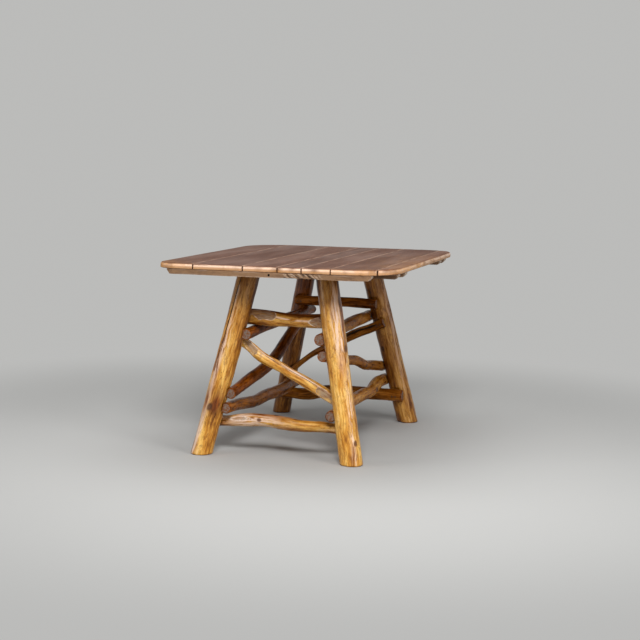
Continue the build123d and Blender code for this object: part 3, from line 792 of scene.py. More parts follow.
    def whittle(self) -> Marks:
        """Cuts the facets, and marks a band along their edges for a painted highlight."""
        taken = np.full_like(self.carved, -np.inf)
        for mark in self.facets:
            along, _ = self.about(mark.place, mark.turn)
            lean = turns_past(self.turns[None, :], mark.turn)
            level = np.nanmean(self.radii[np.abs(along[:, 0]) < mark.length], axis=0).mean()
            cut = level - mark.depth * np.minimum((1.0 - np.abs(along) / mark.length) / mark.slope, 1.0)
            flat = cut / np.maximum(np.cos(FULL_TURN * lean), 0.2)
            inside = np.where(np.abs(lean) < self.FACET_SIDES, self.carved - flat, -np.inf)
            taken = np.maximum(taken, inside)
        self.carved -= np.maximum(taken, 0.0)
        # The band along a facet's edge that takes the painted highlight.
        arris = np.exp(-((taken / self.ARRIS) ** 2))
        return {"facet": smooth_step(-0.1 * MM, 0.5 * MM, taken), "arris": arris}

    def weather(self) -> Marks:
        """Stains, bleaches and raises the patches, and stains the rounded edges of the ends. Some patches are
        painted shade, as at the heads of the legs, and some are painted highlights.
        """
        from_end = np.minimum(self.rows, self.length - self.rows)[:, None]
        stain_and_shade = self.stain_and_shade + self.END_STAIN * np.exp(-((from_end / self.RING_STEP) ** 2)) + 0.0 * self.carved
        bleach_and_highlight = np.zeros_like(self.carved)
        ragged = 1.0 + 0.5 * self.noise.at(self.drawn / 0.02 + 11.0)
        for mark in self.patches:
            along, beside = self.about(mark.place, mark.turn)
            amount = np.exp(-((along / mark.length) ** 2 + (beside / mark.width) ** 2) * ragged)
            stain_and_shade += mark.stain_and_shade * amount
            bleach_and_highlight += mark.bleach_and_highlight * amount
            self.carved += mark.rise * amount
        return {"stain_and_shade": np.clip(stain_and_shade, 0.0, 1.0), "bleach_and_highlight": bleach_and_highlight}

    def grow_knots(self) -> Marks:
        """Raises the knots and sinks their middles."""
        knot = np.zeros_like(self.carved)
        uneven = 1.0 + 0.35 * self.noise.at(self.spot / 0.02 + 3.0)
        for mark in self.knots:
            along, beside = self.about(mark.place, mark.turn)
            away = np.hypot(along / 1.5, beside) / mark.size * uneven
            self.carved += mark.rise * (np.exp(-((away * 0.75) ** 2)) - 0.75 * np.exp(-((away / 0.42) ** 2)))
            knot = np.maximum(knot, np.exp(-(away**2)))
        return {"knot": knot}

    def open_checks(self) -> Marks:
        """Cuts the checks, and marks them for painted shade inside."""
        shaded_check = np.zeros_like(self.carved)
        for mark in self.checks:
            _, beside = self.about(0.0, mark.turn)
            share = (self.rows[:, None] / self.length - mark.start) / (mark.end - mark.start)
            gape = np.clip(np.sin(math.pi * np.clip(share, 0.0, 1.0)), 0.0, 1.0) ** 0.5
            gape = gape * (0.75 + 0.5 * self.noise.along(share * 9.0, 0.0, 2.5))
            near = np.clip(1.0 - np.abs(beside) / np.maximum(mark.width * gape, 1e-6), 0.0, 1.0)
            self.carved -= mark.depth * gape * near**0.8
            # Where the painted shade inside a check goes.
            shaded_check = np.maximum(shaded_check, near * np.minimum(1.0, gape * 2.0))
        return {"shaded_check": shaded_check}

    def skin(self, marks: Marks) -> Piece:
        """Makes the mesh from the carved grid and dresses it."""
        reach = np.maximum(self.carved - self.inset[:, None], self.LEAST_RADIUS) * self.share[:, None]
        points = self.middles[:, None, :] + self.outward * reach[..., None]
        if not self.upright:
            sag = 0.35 * MM * np.abs(self.noise.rough(points / 0.012, 2))
            inward = np.where(self.rows < self.length / 2.0, 1.0, -1.0)[:, None] * marks["end"] * sag
            points = points + self.ways[:, None, :] * inward[..., None]
        rows, columns = reach.shape
        grid = np.arange(rows * columns).reshape(rows, columns)
        after = np.roll(grid, -1, axis=1)
        first, last = rows * columns, rows * columns + 1
        faces = np.stack([grid[:-1], after[:-1], after[1:], grid[1:]], axis=-1).reshape(-1, 4).tolist()
        faces += [[first, b, a] for a, b in zip(grid[0], after[0])]
        faces += [[last, a, b] for a, b in zip(grid[-1], after[-1])]
        everything = np.concatenate([points.reshape(-1, 3), [self.middles[0], self.middles[-1]]])
        piece = new_piece(self.node + "_wood", everything, faces)
        piece.data.set_sharp_from_angle(angle=self.SHARP)
        lengthwise = self.rows[:, None] + 0.0 * reach
        grain = np.stack([np.cos(self.angles) * reach, np.sin(self.angles) * reach, lengthwise], axis=-1)
        grain = np.concatenate([grain.reshape(-1, 3), [(0.0, 0.0, 0.0), (0.0, 0.0, self.length)]])
        grain[:, 2] += self.seed * 0.731
        set_attribute(piece, "grain", grain)
        for name, mark in marks.items():
            set_attribute(piece, name, np.concatenate([mark.ravel(), [mark[0].mean(), mark[-1].mean()]]))
        RELIEF.run(piece, self.slot, Seed=float(self.seed), **self.FIBRES)
        return deliver(piece, self.node)


def new_piece(name: str, points: np.ndarray, faces: list[list[int]]) -> Piece:
    """A smooth-shaded object at the origin, made of points and faces."""
    mesh = bpy.data.meshes.new(name)
    mesh.from_pydata(points.tolist(), [], faces)
    mesh.update()
    mesh.shade_smooth()
    piece = bpy.data.objects.new(name, mesh)
    bpy.context.scene.collection.objects.link(piece)
    return piece


def set_attribute(piece: Piece, name: str, values: np.ndarray) -> None:
    """Writes a number or a vector for each vertex of a piece."""
    kind, key = ("FLOAT_VECTOR", "vector") if values.ndim == 2 else ("FLOAT", "value")
    layer = piece.data.attributes.new(name, kind, "POINT")
    layer.data.foreach_set(key, values.astype(np.float32).ravel())


def deliver(piece: Piece, node: str) -> Piece:
    """Lets a piece ride on the table's body in place of its node, and reports it."""
    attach(piece, "root")
    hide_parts(node)
    LOG.info("%s: %d faces, for %s", piece.name, len(piece.data.polygons), node)
    return piece


class GeometryTree(Wiring):
    """A Geometry Nodes tree with named inputs, ended by Realize Instances and Set Material."""

    def __init__(self, name: str, inputs: dict[str, str]) -> None:
        """Starts a tree.

        Args:
            name: the tree's name.
            inputs: the kind of socket for each named input, after the geometry and before the material.
        """
        super().__init__(bpy.data.node_groups.new(name, "GeometryNodeTree"))
        self.keys: dict[str, str] = {}
        sockets = self.tree.interface
        for label, kind in {"Geometry": "Geometry", **inputs, "Material": "Material"}.items():
            socket = sockets.new_socket(name=label, in_out="INPUT", socket_type="NodeSocket" + kind)
            self.keys[label] = socket.identifier
        sockets.new_socket(name="Geometry", in_out="OUTPUT", socket_type="NodeSocketGeometry")
        self.given = self.add("NodeGroupInput").outputs

    def attribute(self, name: str, kind: str) -> Socket:
        """One of the piece's own attributes."""
        return self.add("GeometryNodeInputNamedAttribute", {"data_type": kind}, Name=name).outputs[0]

    def end(self, geometry: Socket) -> None:
        """Ends the tree."""
        real = self.add("GeometryNodeRealizeInstances", Geometry=geometry).outputs[0]
        material = self.given["Material"]
        dressed = self.add("GeometryNodeSetMaterial", Geometry=real, Material=material).outputs[0]
        self.add("NodeGroupOutput", Geometry=dressed)

    def run(self, piece: Piece, slot: Slot, **values: Any) -> None:
        """Runs the tree on a piece and leaves a plain mesh."""
        modifier = piece.modifiers.new(self.tree.name, "NODES")
        modifier.node_group = self.tree
        for label, value in {**values, "Material": MATERIALS[slot]}.items():
            modifier[self.keys[label]] = value
        graph = bpy.context.evaluated_depsgraph_get()
        shown = piece.evaluated_get(graph)
        made = bpy.data.meshes.new_from_object(shown, preserve_all_data_layers=True, depsgraph=graph)
        piece.modifiers.clear()
        piece.data = made


class Relief(GeometryTree):
    """Moves a surface in and out along its normals by noise that is drawn out along the grain."""

    CREST = 0.75  # the level of noise that stays where it was

    def __init__(self) -> None:
        """Builds the tree."""
        super().__init__("grain_relief", dict.fromkeys(("Height", "Size", "Stretch", "Seed"), "Float"))
        draw = self.add("ShaderNodeCombineXYZ", X=1.0, Y=1.0, Z=self.given["Stretch"]).outputs[0]
        place = self.vector("MULTIPLY", self.attribute("grain", "FLOAT_VECTOR"), draw)
        noise = self.add("ShaderNodeTexNoise", {"noise_dimensions": "4D"}, Vector=place, W=self.given["Seed"],
                         Scale=self.given["Size"], Detail=3.0, Roughness=0.55).outputs[0]
        free = self.math("SUBTRACT", 1.0, self.attribute("end", "FLOAT"))
        fall = self.math("MULTIPLY", self.math("SUBTRACT", noise, self.CREST), self.given["Height"])
        fall = self.math("MULTIPLY", fall, free)
        normal = self.add("GeometryNodeInputNormal").outputs[0]
        offset = self.add("ShaderNodeVectorMath", {"operation": "SCALE"}, Vector=normal, Scale=fall).outputs
        moved = self.add("GeometryNodeSetPosition", Geometry=self.given["Geometry"], Offset=offset[0])
        self.end(moved.outputs[0])


@dataclass
class Logs:
    """The four legs and the twelve stretchers."""

    legs: tuple[Pole, ...] = (
        Pole(
            "front_left_leg", Slot.LEG, upright=True, seed=11,
            knots=(Knot(0.262, 0.02, 0.012, 2.8 * MM), Knot(0.55, 0.31, 0.009, 1.8 * MM)),
            checks=(Check(0.42, 1.0, 0.885, 5.0 * MM, 7.0 * MM), Check(0.30, 0.80, 0.845)),
            patches=(
                Patch(0.27, 0.10, 0.055, 0.030, stain_and_shade=1.1),
                Patch(0.29, 0.92, 0.05, 0.012, stain_and_shade=1.0),
                # Painted shade of the top over the leg's head, all round it.
                Patch(1.0, 0.0, 0.26, 0.3, stain_and_shade=0.75),
                # Long pale stripes down the front-left: bleached wood and painted highlight.
                Patch(0.55, 0.94, 0.22, 0.014, bleach_and_highlight=0.8),
                Patch(0.07, 0.94, 0.14, 0.014, bleach_and_highlight=1.3),
                Patch(0.62, 0.25, 0.20, 0.045, rise=4.5 * MM),
                Patch(0.70, 0.25, 0.25, 0.03, stain_and_shade=0.4),
            ),
        ),
        Pole(
            "front_right_leg", Slot.LEG, upright=True, seed=12,
            knots=(Knot(0.60, 0.17, 0.010, 2.4 * MM), Knot(0.12, 0.2, 0.009, 1.5 * MM)),
            checks=(Check(0.55, 0.99, 0.15, 3.0 * MM, 3.0 * MM),),
            patches=(
                # Pale stripe at the front: bleached wood and painted highlight.
                Patch(0.76, 0.05, 0.16, 0.018, bleach_and_highlight=0.9),
                # Painted shade of the top over the leg's head, all round it.
                Patch(1.0, 0.0, 0.22, 0.3, stain_and_shade=0.7),
                # Narrow pale stripe at the front-right: bleached wood and painted highlight.
                Patch(0.74, 0.12, 0.09, 0.009, bleach_and_highlight=1.8, rise=1.5 * MM),
                Patch(0.78, 0.18, 0.14, 0.012, stain_and_shade=1.0),
                # Narrow pale stripe at the front-right: bleached wood and painted highlight.
                Patch(0.25, 0.17, 0.25, 0.012, bleach_and_highlight=0.8),
                Patch(0.5, 0.75, 0.4, 0.025, stain_and_shade=0.5),
            ),
        ),
        Pole(
            "back_right_leg", Slot.LEG, upright=True, seed=13, stain_and_shade=0.46,
            knots=(Knot(0.45, 0.9, 0.010, 2.0 * MM),),
            checks=(Check(0.25, 0.98, 0.20),),
            patches=(
                # Pale stripe on the right side: bleached wood and painted highlight.
                Patch(0.6, 0.15, 0.3, 0.014, bleach_and_highlight=0.9),
                Patch(0.3, 0.85, 0.4, 0.05, stain_and_shade=0.4),
                # Painted shade of the top over the leg's head, all round it.
                Patch(1.0, 0.0, 0.2, 0.3, stain_and_shade=0.3),
            ),
        ),
        Pole(
            "back_left_leg", Slot.LEG, upright=True, seed=14, stain_and_shade=0.8,
            knots=(Knot(0.3, 0.1, 0.010, 2.0 * MM),),
            checks=(Check(0.1, 0.7, 0.55),),
            # Painted shade of the top over the leg's head, all round it.
            patches=(Patch(0.9, 0.0, 0.2, 0.3, stain_and_shade=0.3),),
        ),
    )
    front_branches: tuple[Pole, ...] = (
        Pole(
            "front_upper_rail", Slot.FRONT_BRANCH, stain_and_shade=0.18, coarse=0.55, seed=21,
            facets=(
                Facet(0.10, 0.22, 0.085, 6.0 * MM, 0.3),
                Facet(0.29, 0.19, 0.045, 8.0 * MM, 0.5),
                Facet(0.79, 0.24, 0.040, 8.0 * MM),
                Facet(0.92, 0.20, 0.050, 6.0 * MM, 0.4),
            ),
            patches=(
                Patch(0.5, 0.05, 0.4, 0.014, stain_and_shade=1.0),
                Patch(0.53, 0.21, 0.13, 0.004, bleach_and_highlight=1.0, rise=1.5 * MM),
                # Painted shade at the left end, beside the leg.
                Patch(0.02, 0.24, 0.075, 0.06, stain_and_shade=0.75),
            ),
        ),
        Pole(
            "front_diagonal", Slot.FRONT_BRANCH, coarse=0.55, seed=22,
            checks=(Check(0.2, 0.8, 0.13, 2.2 * MM, 1.6 * MM),),
            facets=(Facet(0.05, 0.24, 0.095, 5.5 * MM, 0.08), Facet(0.93, 0.20, 0.105, 6.0 * MM, 0.10)),
            # A thin painted highlight along the upper side.
            patches=(Patch(0.5, 0.10, 0.25, 0.006, bleach_and_highlight=1.2),),
        ),
        Pole(
            "front_lower_rail", Slot.FRONT_BRANCH, stain_and_shade=0.18, lump=1.9 * MM, seed=23,
            knots=(Knot(0.35, 0.26, 0.007, 2.4 * MM), Knot(0.46, 0.03, 0.008, 2.0 * MM)),
            facets=(Facet(0.1, 0.24, 0.04, 2.5 * MM),),
            patches=(
                Patch(0.31, 0.22, 0.12, 0.045, bleach_and_highlight=1.3),
                # Painted shade at the left end, beside the leg.
                Patch(0.03, 0.25, 0.06, 0.06, stain_and_shade=0.9),
                Patch(0.45, 0.05, 0.07, 0.02, stain_and_shade=0.8),
                Patch(0.85, 0.35, 0.03, 0.01, stain_and_shade=0.8),
                Patch(0.60, 0.35, 0.05, 0.012, stain_and_shade=0.7),
                Patch(0.33, 0.10, 0.03, 0.010, stain_and_shade=0.8),
            ),
        ),
    )
    inner_branches: tuple[Pole, ...] = (
        Pole("left_upper_rail", Slot.INNER_BRANCH, (Knot(0.4, 0.3, 0.009, 2.0 * MM),), stain_and_shade=1.0, seed=31,
             patches=(Patch(0.1, 0.3, 0.2, 0.3, stain_and_shade=0.4),)),
        Pole("left_diagonal", Slot.INNER_BRANCH, (Knot(0.5, 0.2, 0.010, 2.5 * MM),), stain_and_shade=1.0, seed=32),
        Pole("left_lower_rail", Slot.INNER_BRANCH, (Knot(0.3, 0.35, 0.010, 2.5 * MM),), stain_and_shade=0.85,
             lump=1.6 * MM, seed=33),
        Pole("back_upper_rail", Slot.INNER_BRANCH, stain_and_shade=0.95, seed=41),
        Pole("back_diagonal", Slot.INNER_BRANCH, stain_and_shade=0.72,
             checks=(Check(0.50, 0.97, 0.165, 15.0 * MM, 9.0 * MM),), seed=42),
        Pole("back_lower_rail", Slot.INNER_BRANCH, (Knot(0.4, 0.2, 0.012, 3.0 * MM),), stain_and_shade=0.82,
             facets=(Facet(0.36, 0.2, 0.03, 3.0 * MM),), edge=6.0 * MM, seed=43),
        Pole("right_upper_rail", Slot.INNER_BRANCH, stain_and_shade=0.72,
             facets=(Facet(0.97, 0.72, 0.035, 4.0 * MM),), seed=51),
        Pole("right_diagonal", Slot.INNER_BRANCH, (Knot(0.6, 0.3, 0.009, 2.0 * MM),), stain_and_shade=0.62, seed=52),
        Pole("right_lower_rail", Slot.INNER_BRANCH, (Knot(0.7, 0.2, 0.012, 3.0 * MM),), stain_and_shade=0.5,
             lump=1.6 * MM, seed=53),
    )

    def make(self) -> list[Piece]:
        """The pieces."""
        return [pole.make() for pole in (*self.legs, *self.front_branches, *self.inner_branches)]


@dataclass
class Plank:
    """A sawn board or strip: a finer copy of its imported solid, planed unevenly and worn along its edges."""

    node: str
    slot: Slot
    heart: tuple[float, float]  # of the log, from the middle of the plank, across it and up
    step: Place  # between the lines of the mesh, along X, Y and Z
    along: int  # the axis of its grain, 0 for X and 1 for Y
    seed: int
    tone: float = 0.0
    wave: float = 0.5 * MM
    wear: float = 1.0 * MM

    SHARP = math.radians(32.0)
    MARGINS = (0.7 * MM, 2.6 * MM, 5.5 * MM)  # from the long edges to the mesh's first lines
    WAVE_SIZES = ((0.16, 0.03, 0.05), (0.03, 0.16, 0.05))  # of a plank along X, and of one along Y

    def make(self) -> Piece:
        """The finished piece."""
        self.noise = Noise(self.seed)
        self.low, self.high = (np.array(corner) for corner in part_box(self.node))
        piece = self.finer_copy()
        points = np.empty(len(piece.data.vertices) * 3)
        normals = np.empty_like(points)
        piece.data.vertices.foreach_get("co", points)
        piece.data.vertices.foreach_get("normal", normals)
        points, normals = points.reshape(-1, 3), normals.reshape(-1, 3)
        marks = self.mark(points, normals)
        moved = self.plane(points, normals)
        piece.data.vertices.foreach_set("co", moved.ravel())
        set_attribute(piece, "grain", self.grain(points))
        for name, values in marks.items():
            set_attribute(piece, name, values)
        piece.data.update()
        piece.data.shade_smooth()
        piece.data.set_sharp_from_angle(angle=self.SHARP)
        piece.data.materials.append(MATERIALS[self.slot])
        return deliver(piece, self.node)

    def lines(self, axis: int) -> np.ndarray:
        """The places of the mesh's lines along an axis."""
        count = max(int((self.high[axis] - self.low[axis]) / self.step[axis]), 1)
        even = np.linspace(self.low[axis], self.high[axis], count + 1)[1:-1]
        if axis != 1 - self.along:
            return even
        close = [place for gap in self.MARGINS for place in (self.low[axis] + gap, self.high[axis] - gap)]
        return np.concatenate([close, even[(even > max(close[::2])) & (even < min(close[1::2]))]])

    def finer_copy(self) -> Piece:
        """A copy of the solid's mesh, merged and cut along a lattice."""
        work = bmesh.new()
        work.from_mesh(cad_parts[self.node].data)
        bmesh.ops.remove_doubles(work, verts=work.verts, dist=0.01 * MM)
        bmesh.ops.dissolve_limit(work, angle_limit=math.radians(0.3), verts=work.verts, edges=work.edges)
        for axis in range(3):
            normal = [float(axis == other) for other in range(3)]
            for place in self.lines(axis):
                cut = (*work.verts, *work.edges, *work.faces)
                spot = [place * share for share in normal]
                bmesh.ops.bisect_plane(work, geom=cut, dist=0.001 * MM, plane_co=spot, plane_no=normal)
        bmesh.ops.remove_doubles(work, verts=work.verts, dist=0.03 * MM)
        mesh = bpy.data.meshes.new(self.node + "_wood")
        work.to_mesh(mesh)
        work.free()
        piece = bpy.data.objects.new(self.node + "_wood", mesh)
        bpy.context.scene.collection.objects.link(piece)
        return piece

    def grain(self, points: np.ndarray) -> np.ndarray:
        """For each point, its place across the log, up from its heart, and along it."""
        middle = (self.low + self.high) / 2.0
        across = points[:, 1 - self.along] - middle[1 - self.along] - self.heart[0]
        up = points[:, 2] - middle[2] - self.heart[1]
        return np.stack([across, up, points[:, self.along] + self.seed * 1.37], axis=1)

    def uneven(self, points: np.ndarray, size: Place, shift: float, octaves: int = 3) -> np.ndarray:
        """Rough noise whose largest lumps have a size along X, Y and Z."""
        return self.noise.rough(points / np.array(size) + shift, octaves)

    def mark(self, points: np.ndarray, normals: np.ndarray) -> Marks:
        """The wear, grime, warmth and tone at each point, painted highlights and painted shade among them."""
        raise NotImplementedError

    def plane(self, points: np.ndarray, normals: np.ndarray) -> np.ndarray:
        """The points, moved inwards by the waves that a plane and years of use leave."""
        waves = self.uneven(points, self.WAVE_SIZES[self.along], self.seed, 2)
        return points - normals * (self.wave * np.clip(0.5 + waves, 0.0, 1.5))[:, None]


@dataclass(frozen=True)
class Stain:
    """A round spot where the varnish of the top is warmer."""

    x: float
    y: float
    radius: float
    strength: float


@dataclass
class Board(Plank):
    """One board of the top."""

    is_first: bool = False
    is_last: bool = False
    stains: tuple[Stain, ...] = ()

    SEAM_BAND = 2.5 * MM  # how wide a seam's own arris is
    UPPER_RIM = (0.015, 0.009)  # how deep the painted highlight on the rim's upper part has ended, and starts to end
    UNDERSIDE_TONE = -0.12

    def from_seam(self, points: np.ndarray) -> np.ndarray:
        """The distance from the nearest seam."""
        left = np.inf if self.is_first else points[:, 0] - self.low[0]
        right = np.inf if self.is_last else self.high[0] - points[:, 0]
        return np.minimum(left, right)

    def mark(self, points: np.ndarray, normals: np.ndarray) -> Marks:
        """The wear with a painted highlight on the rim, the grime with painted shade down the seams, the
        warmth and the tone at each point.
        """
        seam = self.from_seam(points)
        deep = self.high[2] - points[:, 2]
        rough = self.uneven(points, (0.02, 0.09, 0.02), 4.0)
        rim = smooth_step(0.10, 0.75, 1.0 - np.abs(normals[:, 2])) * (seam > self.SEAM_BAND)
        arris = np.exp(-((seam / (2.6 * MM)) ** 2)) * (deep < self.SEAM_BAND) * smooth_step(-0.7, 0.4, rough)
        # The upper part of the rounded rim takes a painted highlight.
        upper = smooth_step(*self.UPPER_RIM, deep)
        patchy = np.clip(1.02 + 1.6 * self.uneven(points, (0.05, 0.09, 0.04), 7.0), 0.25, 1.0)
        # Wear along the seams, and a painted highlight on the rim, strongest on its upper part.
        wear = np.clip(rim * (0.34 + 0.66 * upper) * patchy + 0.38 * arris, 0.0, 1.0)
        # Painted shade down the seam gaps, more than 2 mm below the top.
        grime_and_shade = (seam < 0.4 * MM) * smooth_step(2.0 * MM, 5.0 * MM, deep)
        warmth = np.zeros(len(points))
        for stain_and_shade in self.stains:
            away = np.hypot(points[:, 0] - stain_and_shade.x, points[:, 1] - stain_and_shade.y) / stain_and_shade.radius
            spot = stain_and_shade.strength * np.exp(-((away * (1.0 + 0.8 * rough)) ** 2))
            warmth = np.maximum(warmth, spot)
        ribs = 0.85 + 0.7 * self.noise.at(points / np.array((0.006, 0.006, 0.06)))
        warmth = np.maximum(warmth * (0.25 + 0.75 * rim) * ribs, 0.62 * rim * (1.0 - upper))
        tone = self.tone + self.UNDERSIDE_TONE * smooth_step(0.2, 0.6, -normals[:, 2])
        return {"tone": tone, "wear": wear, "grime_and_shade": grime_and_shade, "warmth": warmth}

    def plane(self, points: np.ndarray, normals: np.ndarray) -> np.ndarray:
        """The points, moved inwards by waves, by wear beside the seams and by the board's uneven ends."""
        upper = smooth_step(-0.3, 0.3, normals[:, 2])
        moved = points + (super().plane(points, normals) - points) * upper[:, None]
        seam = self.from_seam(points)
        nibbled = np.clip(self.uneven(points, (0.02, 0.05, 0.02), 9.0) + 0.1, 0.0, 1.0)
        moved[:, 2] -= self.wear * nibbled * np.exp(-seam / (4.0 * MM)) * (normals[:, 2] > 0.2)
        ripple = 0.35 * MM * np.clip(0.5 + self.noise.at(points / 0.018), 0.0, 1.0)
        for end in (-1, 1):
            setback = 1.3 * MM * (0.5 + self.noise.at(np.array((end * 3.3, 0.4, 0.7))))
            near = smooth_step(self.high[1] - 0.06, self.high[1] - 0.01, end * points[:, 1])
            moved[:, 1] -= end * near * (setback + ripple)
        return moved


@dataclass
class Strip(Plank):
    """A batten or a cleat."""

    gouge: tuple[float, float] | None = None  # the stretch of rough, waney edge on its outer side
    hole: float | None = None  # where along it an empty nail hole is
    dropped_corner: bool = False  # the left end's lower corner is rounded off

    HOLE_RADIUS = 3.5 * MM
    HOLE_SHADE_FADE = 1.2 * MM  # how far past the hole's rim the painted shade inside it fades out
    GOUGE_SLANT = np.array(((0.8, 0.0, 0.6), (0.0, 1.0, 0.0), (-0.6, 0.0, 0.8)))  # turns the knife's strokes
    GOUGE_DEPTHS = (3.2 * MM, 3.5 * MM)  # inwards from the outer side, and up from its lower arris
    CORNER_LIFT = 0.006
    CORNER_LENGTH = 0.022

    def from_edge(self, points: np.ndarray) -> np.ndarray:
        """The distance from the nearest lengthwise arris."""
        beside = np.minimum(points[:, 1] - self.low[1], self.high[1] - points[:, 1])
        level = np.minimum(points[:, 2] - self.low[2], self.high[2] - points[:, 2])
        return np.maximum(beside, level)

    def rough_stretch(self, points: np.ndarray) -> np.ndarray:
        """How far each point is inside the gouged stretch, from 0 to 1."""
        if not self.gouge:
            return np.zeros(len(points))
        start, end = self.gouge
        inside = smooth_step(start - 0.015, start + 0.02, points[:, 0])
        inside *= 1.0 - smooth_step(end - 0.03, end + 0.01, points[:, 0])
        return inside * smooth_step(self.low[1] + 0.02, self.low[1] + 0.002, points[:, 1])

    def mark(self, points: np.ndarray, normals: np.ndarray) -> Marks:
        """The wear, the grime with painted shade in the nail hole, the warmth and the tone at each point."""
        ends = smooth_step(0.55, 0.8, np.abs(normals[:, 0]))
        rough = self.uneven(points, (0.04, 0.012, 0.012), 4.0)
        arris = np.exp(-self.from_edge(points) / (2.0 * MM)) * smooth_step(-0.2, 0.3, rough)
        strokes = self.uneven(points @ self.GOUGE_SLANT, (0.030, 0.03, 0.0060), 2.0)
        torn = self.rough_stretch(points)
        grime_and_shade = 0.75 * torn * smooth_step(-0.10, 0.35, strokes)
        arris = np.maximum(arris, 0.9 * torn * smooth_step(-0.10, -0.45, strokes))
        # Painted shade inside the empty nail hole, fading out just past its rim.
        if self.hole is not None:
            level = (self.low[2] + self.high[2]) / 2.0
            away = np.hypot(points[:, 0] - self.hole, points[:, 2] - level)
            outside = points[:, 1] < self.low[1] + 0.02
            ring = smooth_step(self.HOLE_RADIUS + self.HOLE_SHADE_FADE, self.HOLE_RADIUS, away) * outside
            grime_and_shade = np.maximum(grime_and_shade, ring)
        wear = np.clip(0.8 * ends + 0.7 * arris, 0.0, 0.9)
        warmth = np.zeros(len(points))
        return {"tone": self.tone + 0.15 * rough, "wear": wear, "grime_and_shade": grime_and_shade, "warmth": warmth}

    def plane(self, points: np.ndarray, normals: np.ndarray) -> np.ndarray:
        """The points, moved inwards by waves, and by the gouge and the dropped corner."""
        moved = super().plane(points, normals)
        nibbled = np.clip(self.uneven(points, (0.03, 0.015, 0.015), 9.0) + 0.15, 0.0, 1.0)
        moved -= normals * (self.wear * nibbled * np.exp(-self.from_edge(points) / (2.5 * MM)))[:, None]
        inwards, upwards = self.GOUGE_DEPTHS
        chips = np.clip(0.5 + self.uneven(points, (0.014, 0.02, 0.006), 1.0), 0.0, 1.2)
        torn = self.rough_stretch(points) * chips
        moved[:, 1] += inwards * torn
        moved[:, 2] += upwards * torn * smooth_step(self.low[2] + 0.008, self.low[2], points[:, 2])
        if self.dropped_corner:
            corner = smooth_step(self.low[0] + self.CORNER_LENGTH, self.low[0], points[:, 0]) ** 2
            depth = (self.high[2] - points[:, 2]) / (self.high[2] - self.low[2])
            moved[:, 2] += self.CORNER_LIFT * corner * depth
        return moved


@dataclass
class Top:
    """The seven boards and the six strips under them."""

    tones: tuple[float, ...] = (0.00, 0.03, -0.02, 0.05, -0.01, 0.02, -0.05)
    hearts: tuple[float, ...] = (0.03, -0.05, 0.02, -0.02, 0.04, -0.03, 0.05)
    stains: tuple[Stain, ...] = (
        Stain(0.46, -0.37, 0.12, 1.2),
        Stain(0.46, -0.15, 0.15, 1.0),
        Stain(0.457, 0.10, 0.16, 0.6),
        Stain(-0.455, -0.55, 0.08, 1.3),
        Stain(0.36, -0.61, 0.06, 0.9),
        Stain(0.24, -0.61, 0.04, 0.5),
        Stain(-0.37, -0.61, 0.05, 0.7),
    )

    def boards(self) -> list[Board]:
        """The boards, from left to right."""
        last = len(self.tones)
        return [
            Board(
                f"top_board_{number}", Slot.BOARD, heart=(heart, -0.07), step=(0.008, 0.012, 0.004),
                along=1, seed=60 + number, tone=tone, is_first=number == 1, is_last=number == last,
                stains=self.stains,
            )
            for number, (tone, heart) in enumerate(zip(self.tones, self.hearts), 1)
        ]

    def strips(self) -> list[Strip]:
        """The edge battens and the cleats."""
        wounds: dict[str, dict[str, Any]] = {
            "front": {"gouge": (0.045, 0.200), "hole": -0.005, "dropped_corner": True},
            "back": {"gouge": (-0.25, -0.18)},
        }
        strips = []
        for seed, side in enumerate(wounds, 80):
            strips.append(Strip(
                f"{side}_edge_batten", Slot.BATTEN, heart=(0.02, -0.05), step=(0.004, 0.006, 0.0025),
                along=0, seed=seed, tone=-0.08, **wounds[side],
            ))
            for shift, place in enumerate(("outer", "inner")):
                strips.append(Strip(
                    f"{side}_{place}_cleat", Slot.BATTEN, heart=(0.03, 0.06), step=(0.008, 0.008, 0.004),
                    # The cleats' paler tone is painted light, as they sit in the top's shade.
                    along=0, seed=seed + 4 + 2 * shift, tone=-0.12,
                ))
        return strips

    def make(self) -> list[Piece]:
        """The pieces."""
        return [plank.make() for plank in (*self.boards(), *self.strips())]


class Fasteners(GeometryTree):
    """Puts a head and a shank at each of a set of points."""

    def __init__(self) -> None:
        """Builds the tree."""
        super().__init__("fasteners", {"Head": "Object", "Shank": "Object"})
        turn = self.attribute("turn", "FLOAT_VECTOR")
        length = self.attribute("length", "FLOAT")
        stretch = self.add("ShaderNodeCombineXYZ", X=1.0, Y=1.0, Z=length).outputs[0]
        join = self.add("GeometryNodeJoinGeometry")
        for label, scale in (("Head", (1.0, 1.0, 1.0)), ("Shank", stretch)):
            shape = self.add("GeometryNodeObjectInfo", Object=self.given[label]).outputs["Geometry"]
            part = self.add("GeometryNodeInstanceOnPoints", Points=self.given["Geometry"], Instance=shape,
                            Rotation=turn, Scale=scale)
            self.tree.links.new(part.outputs[0], join.inputs[0])
        self.end(join.outputs[0])


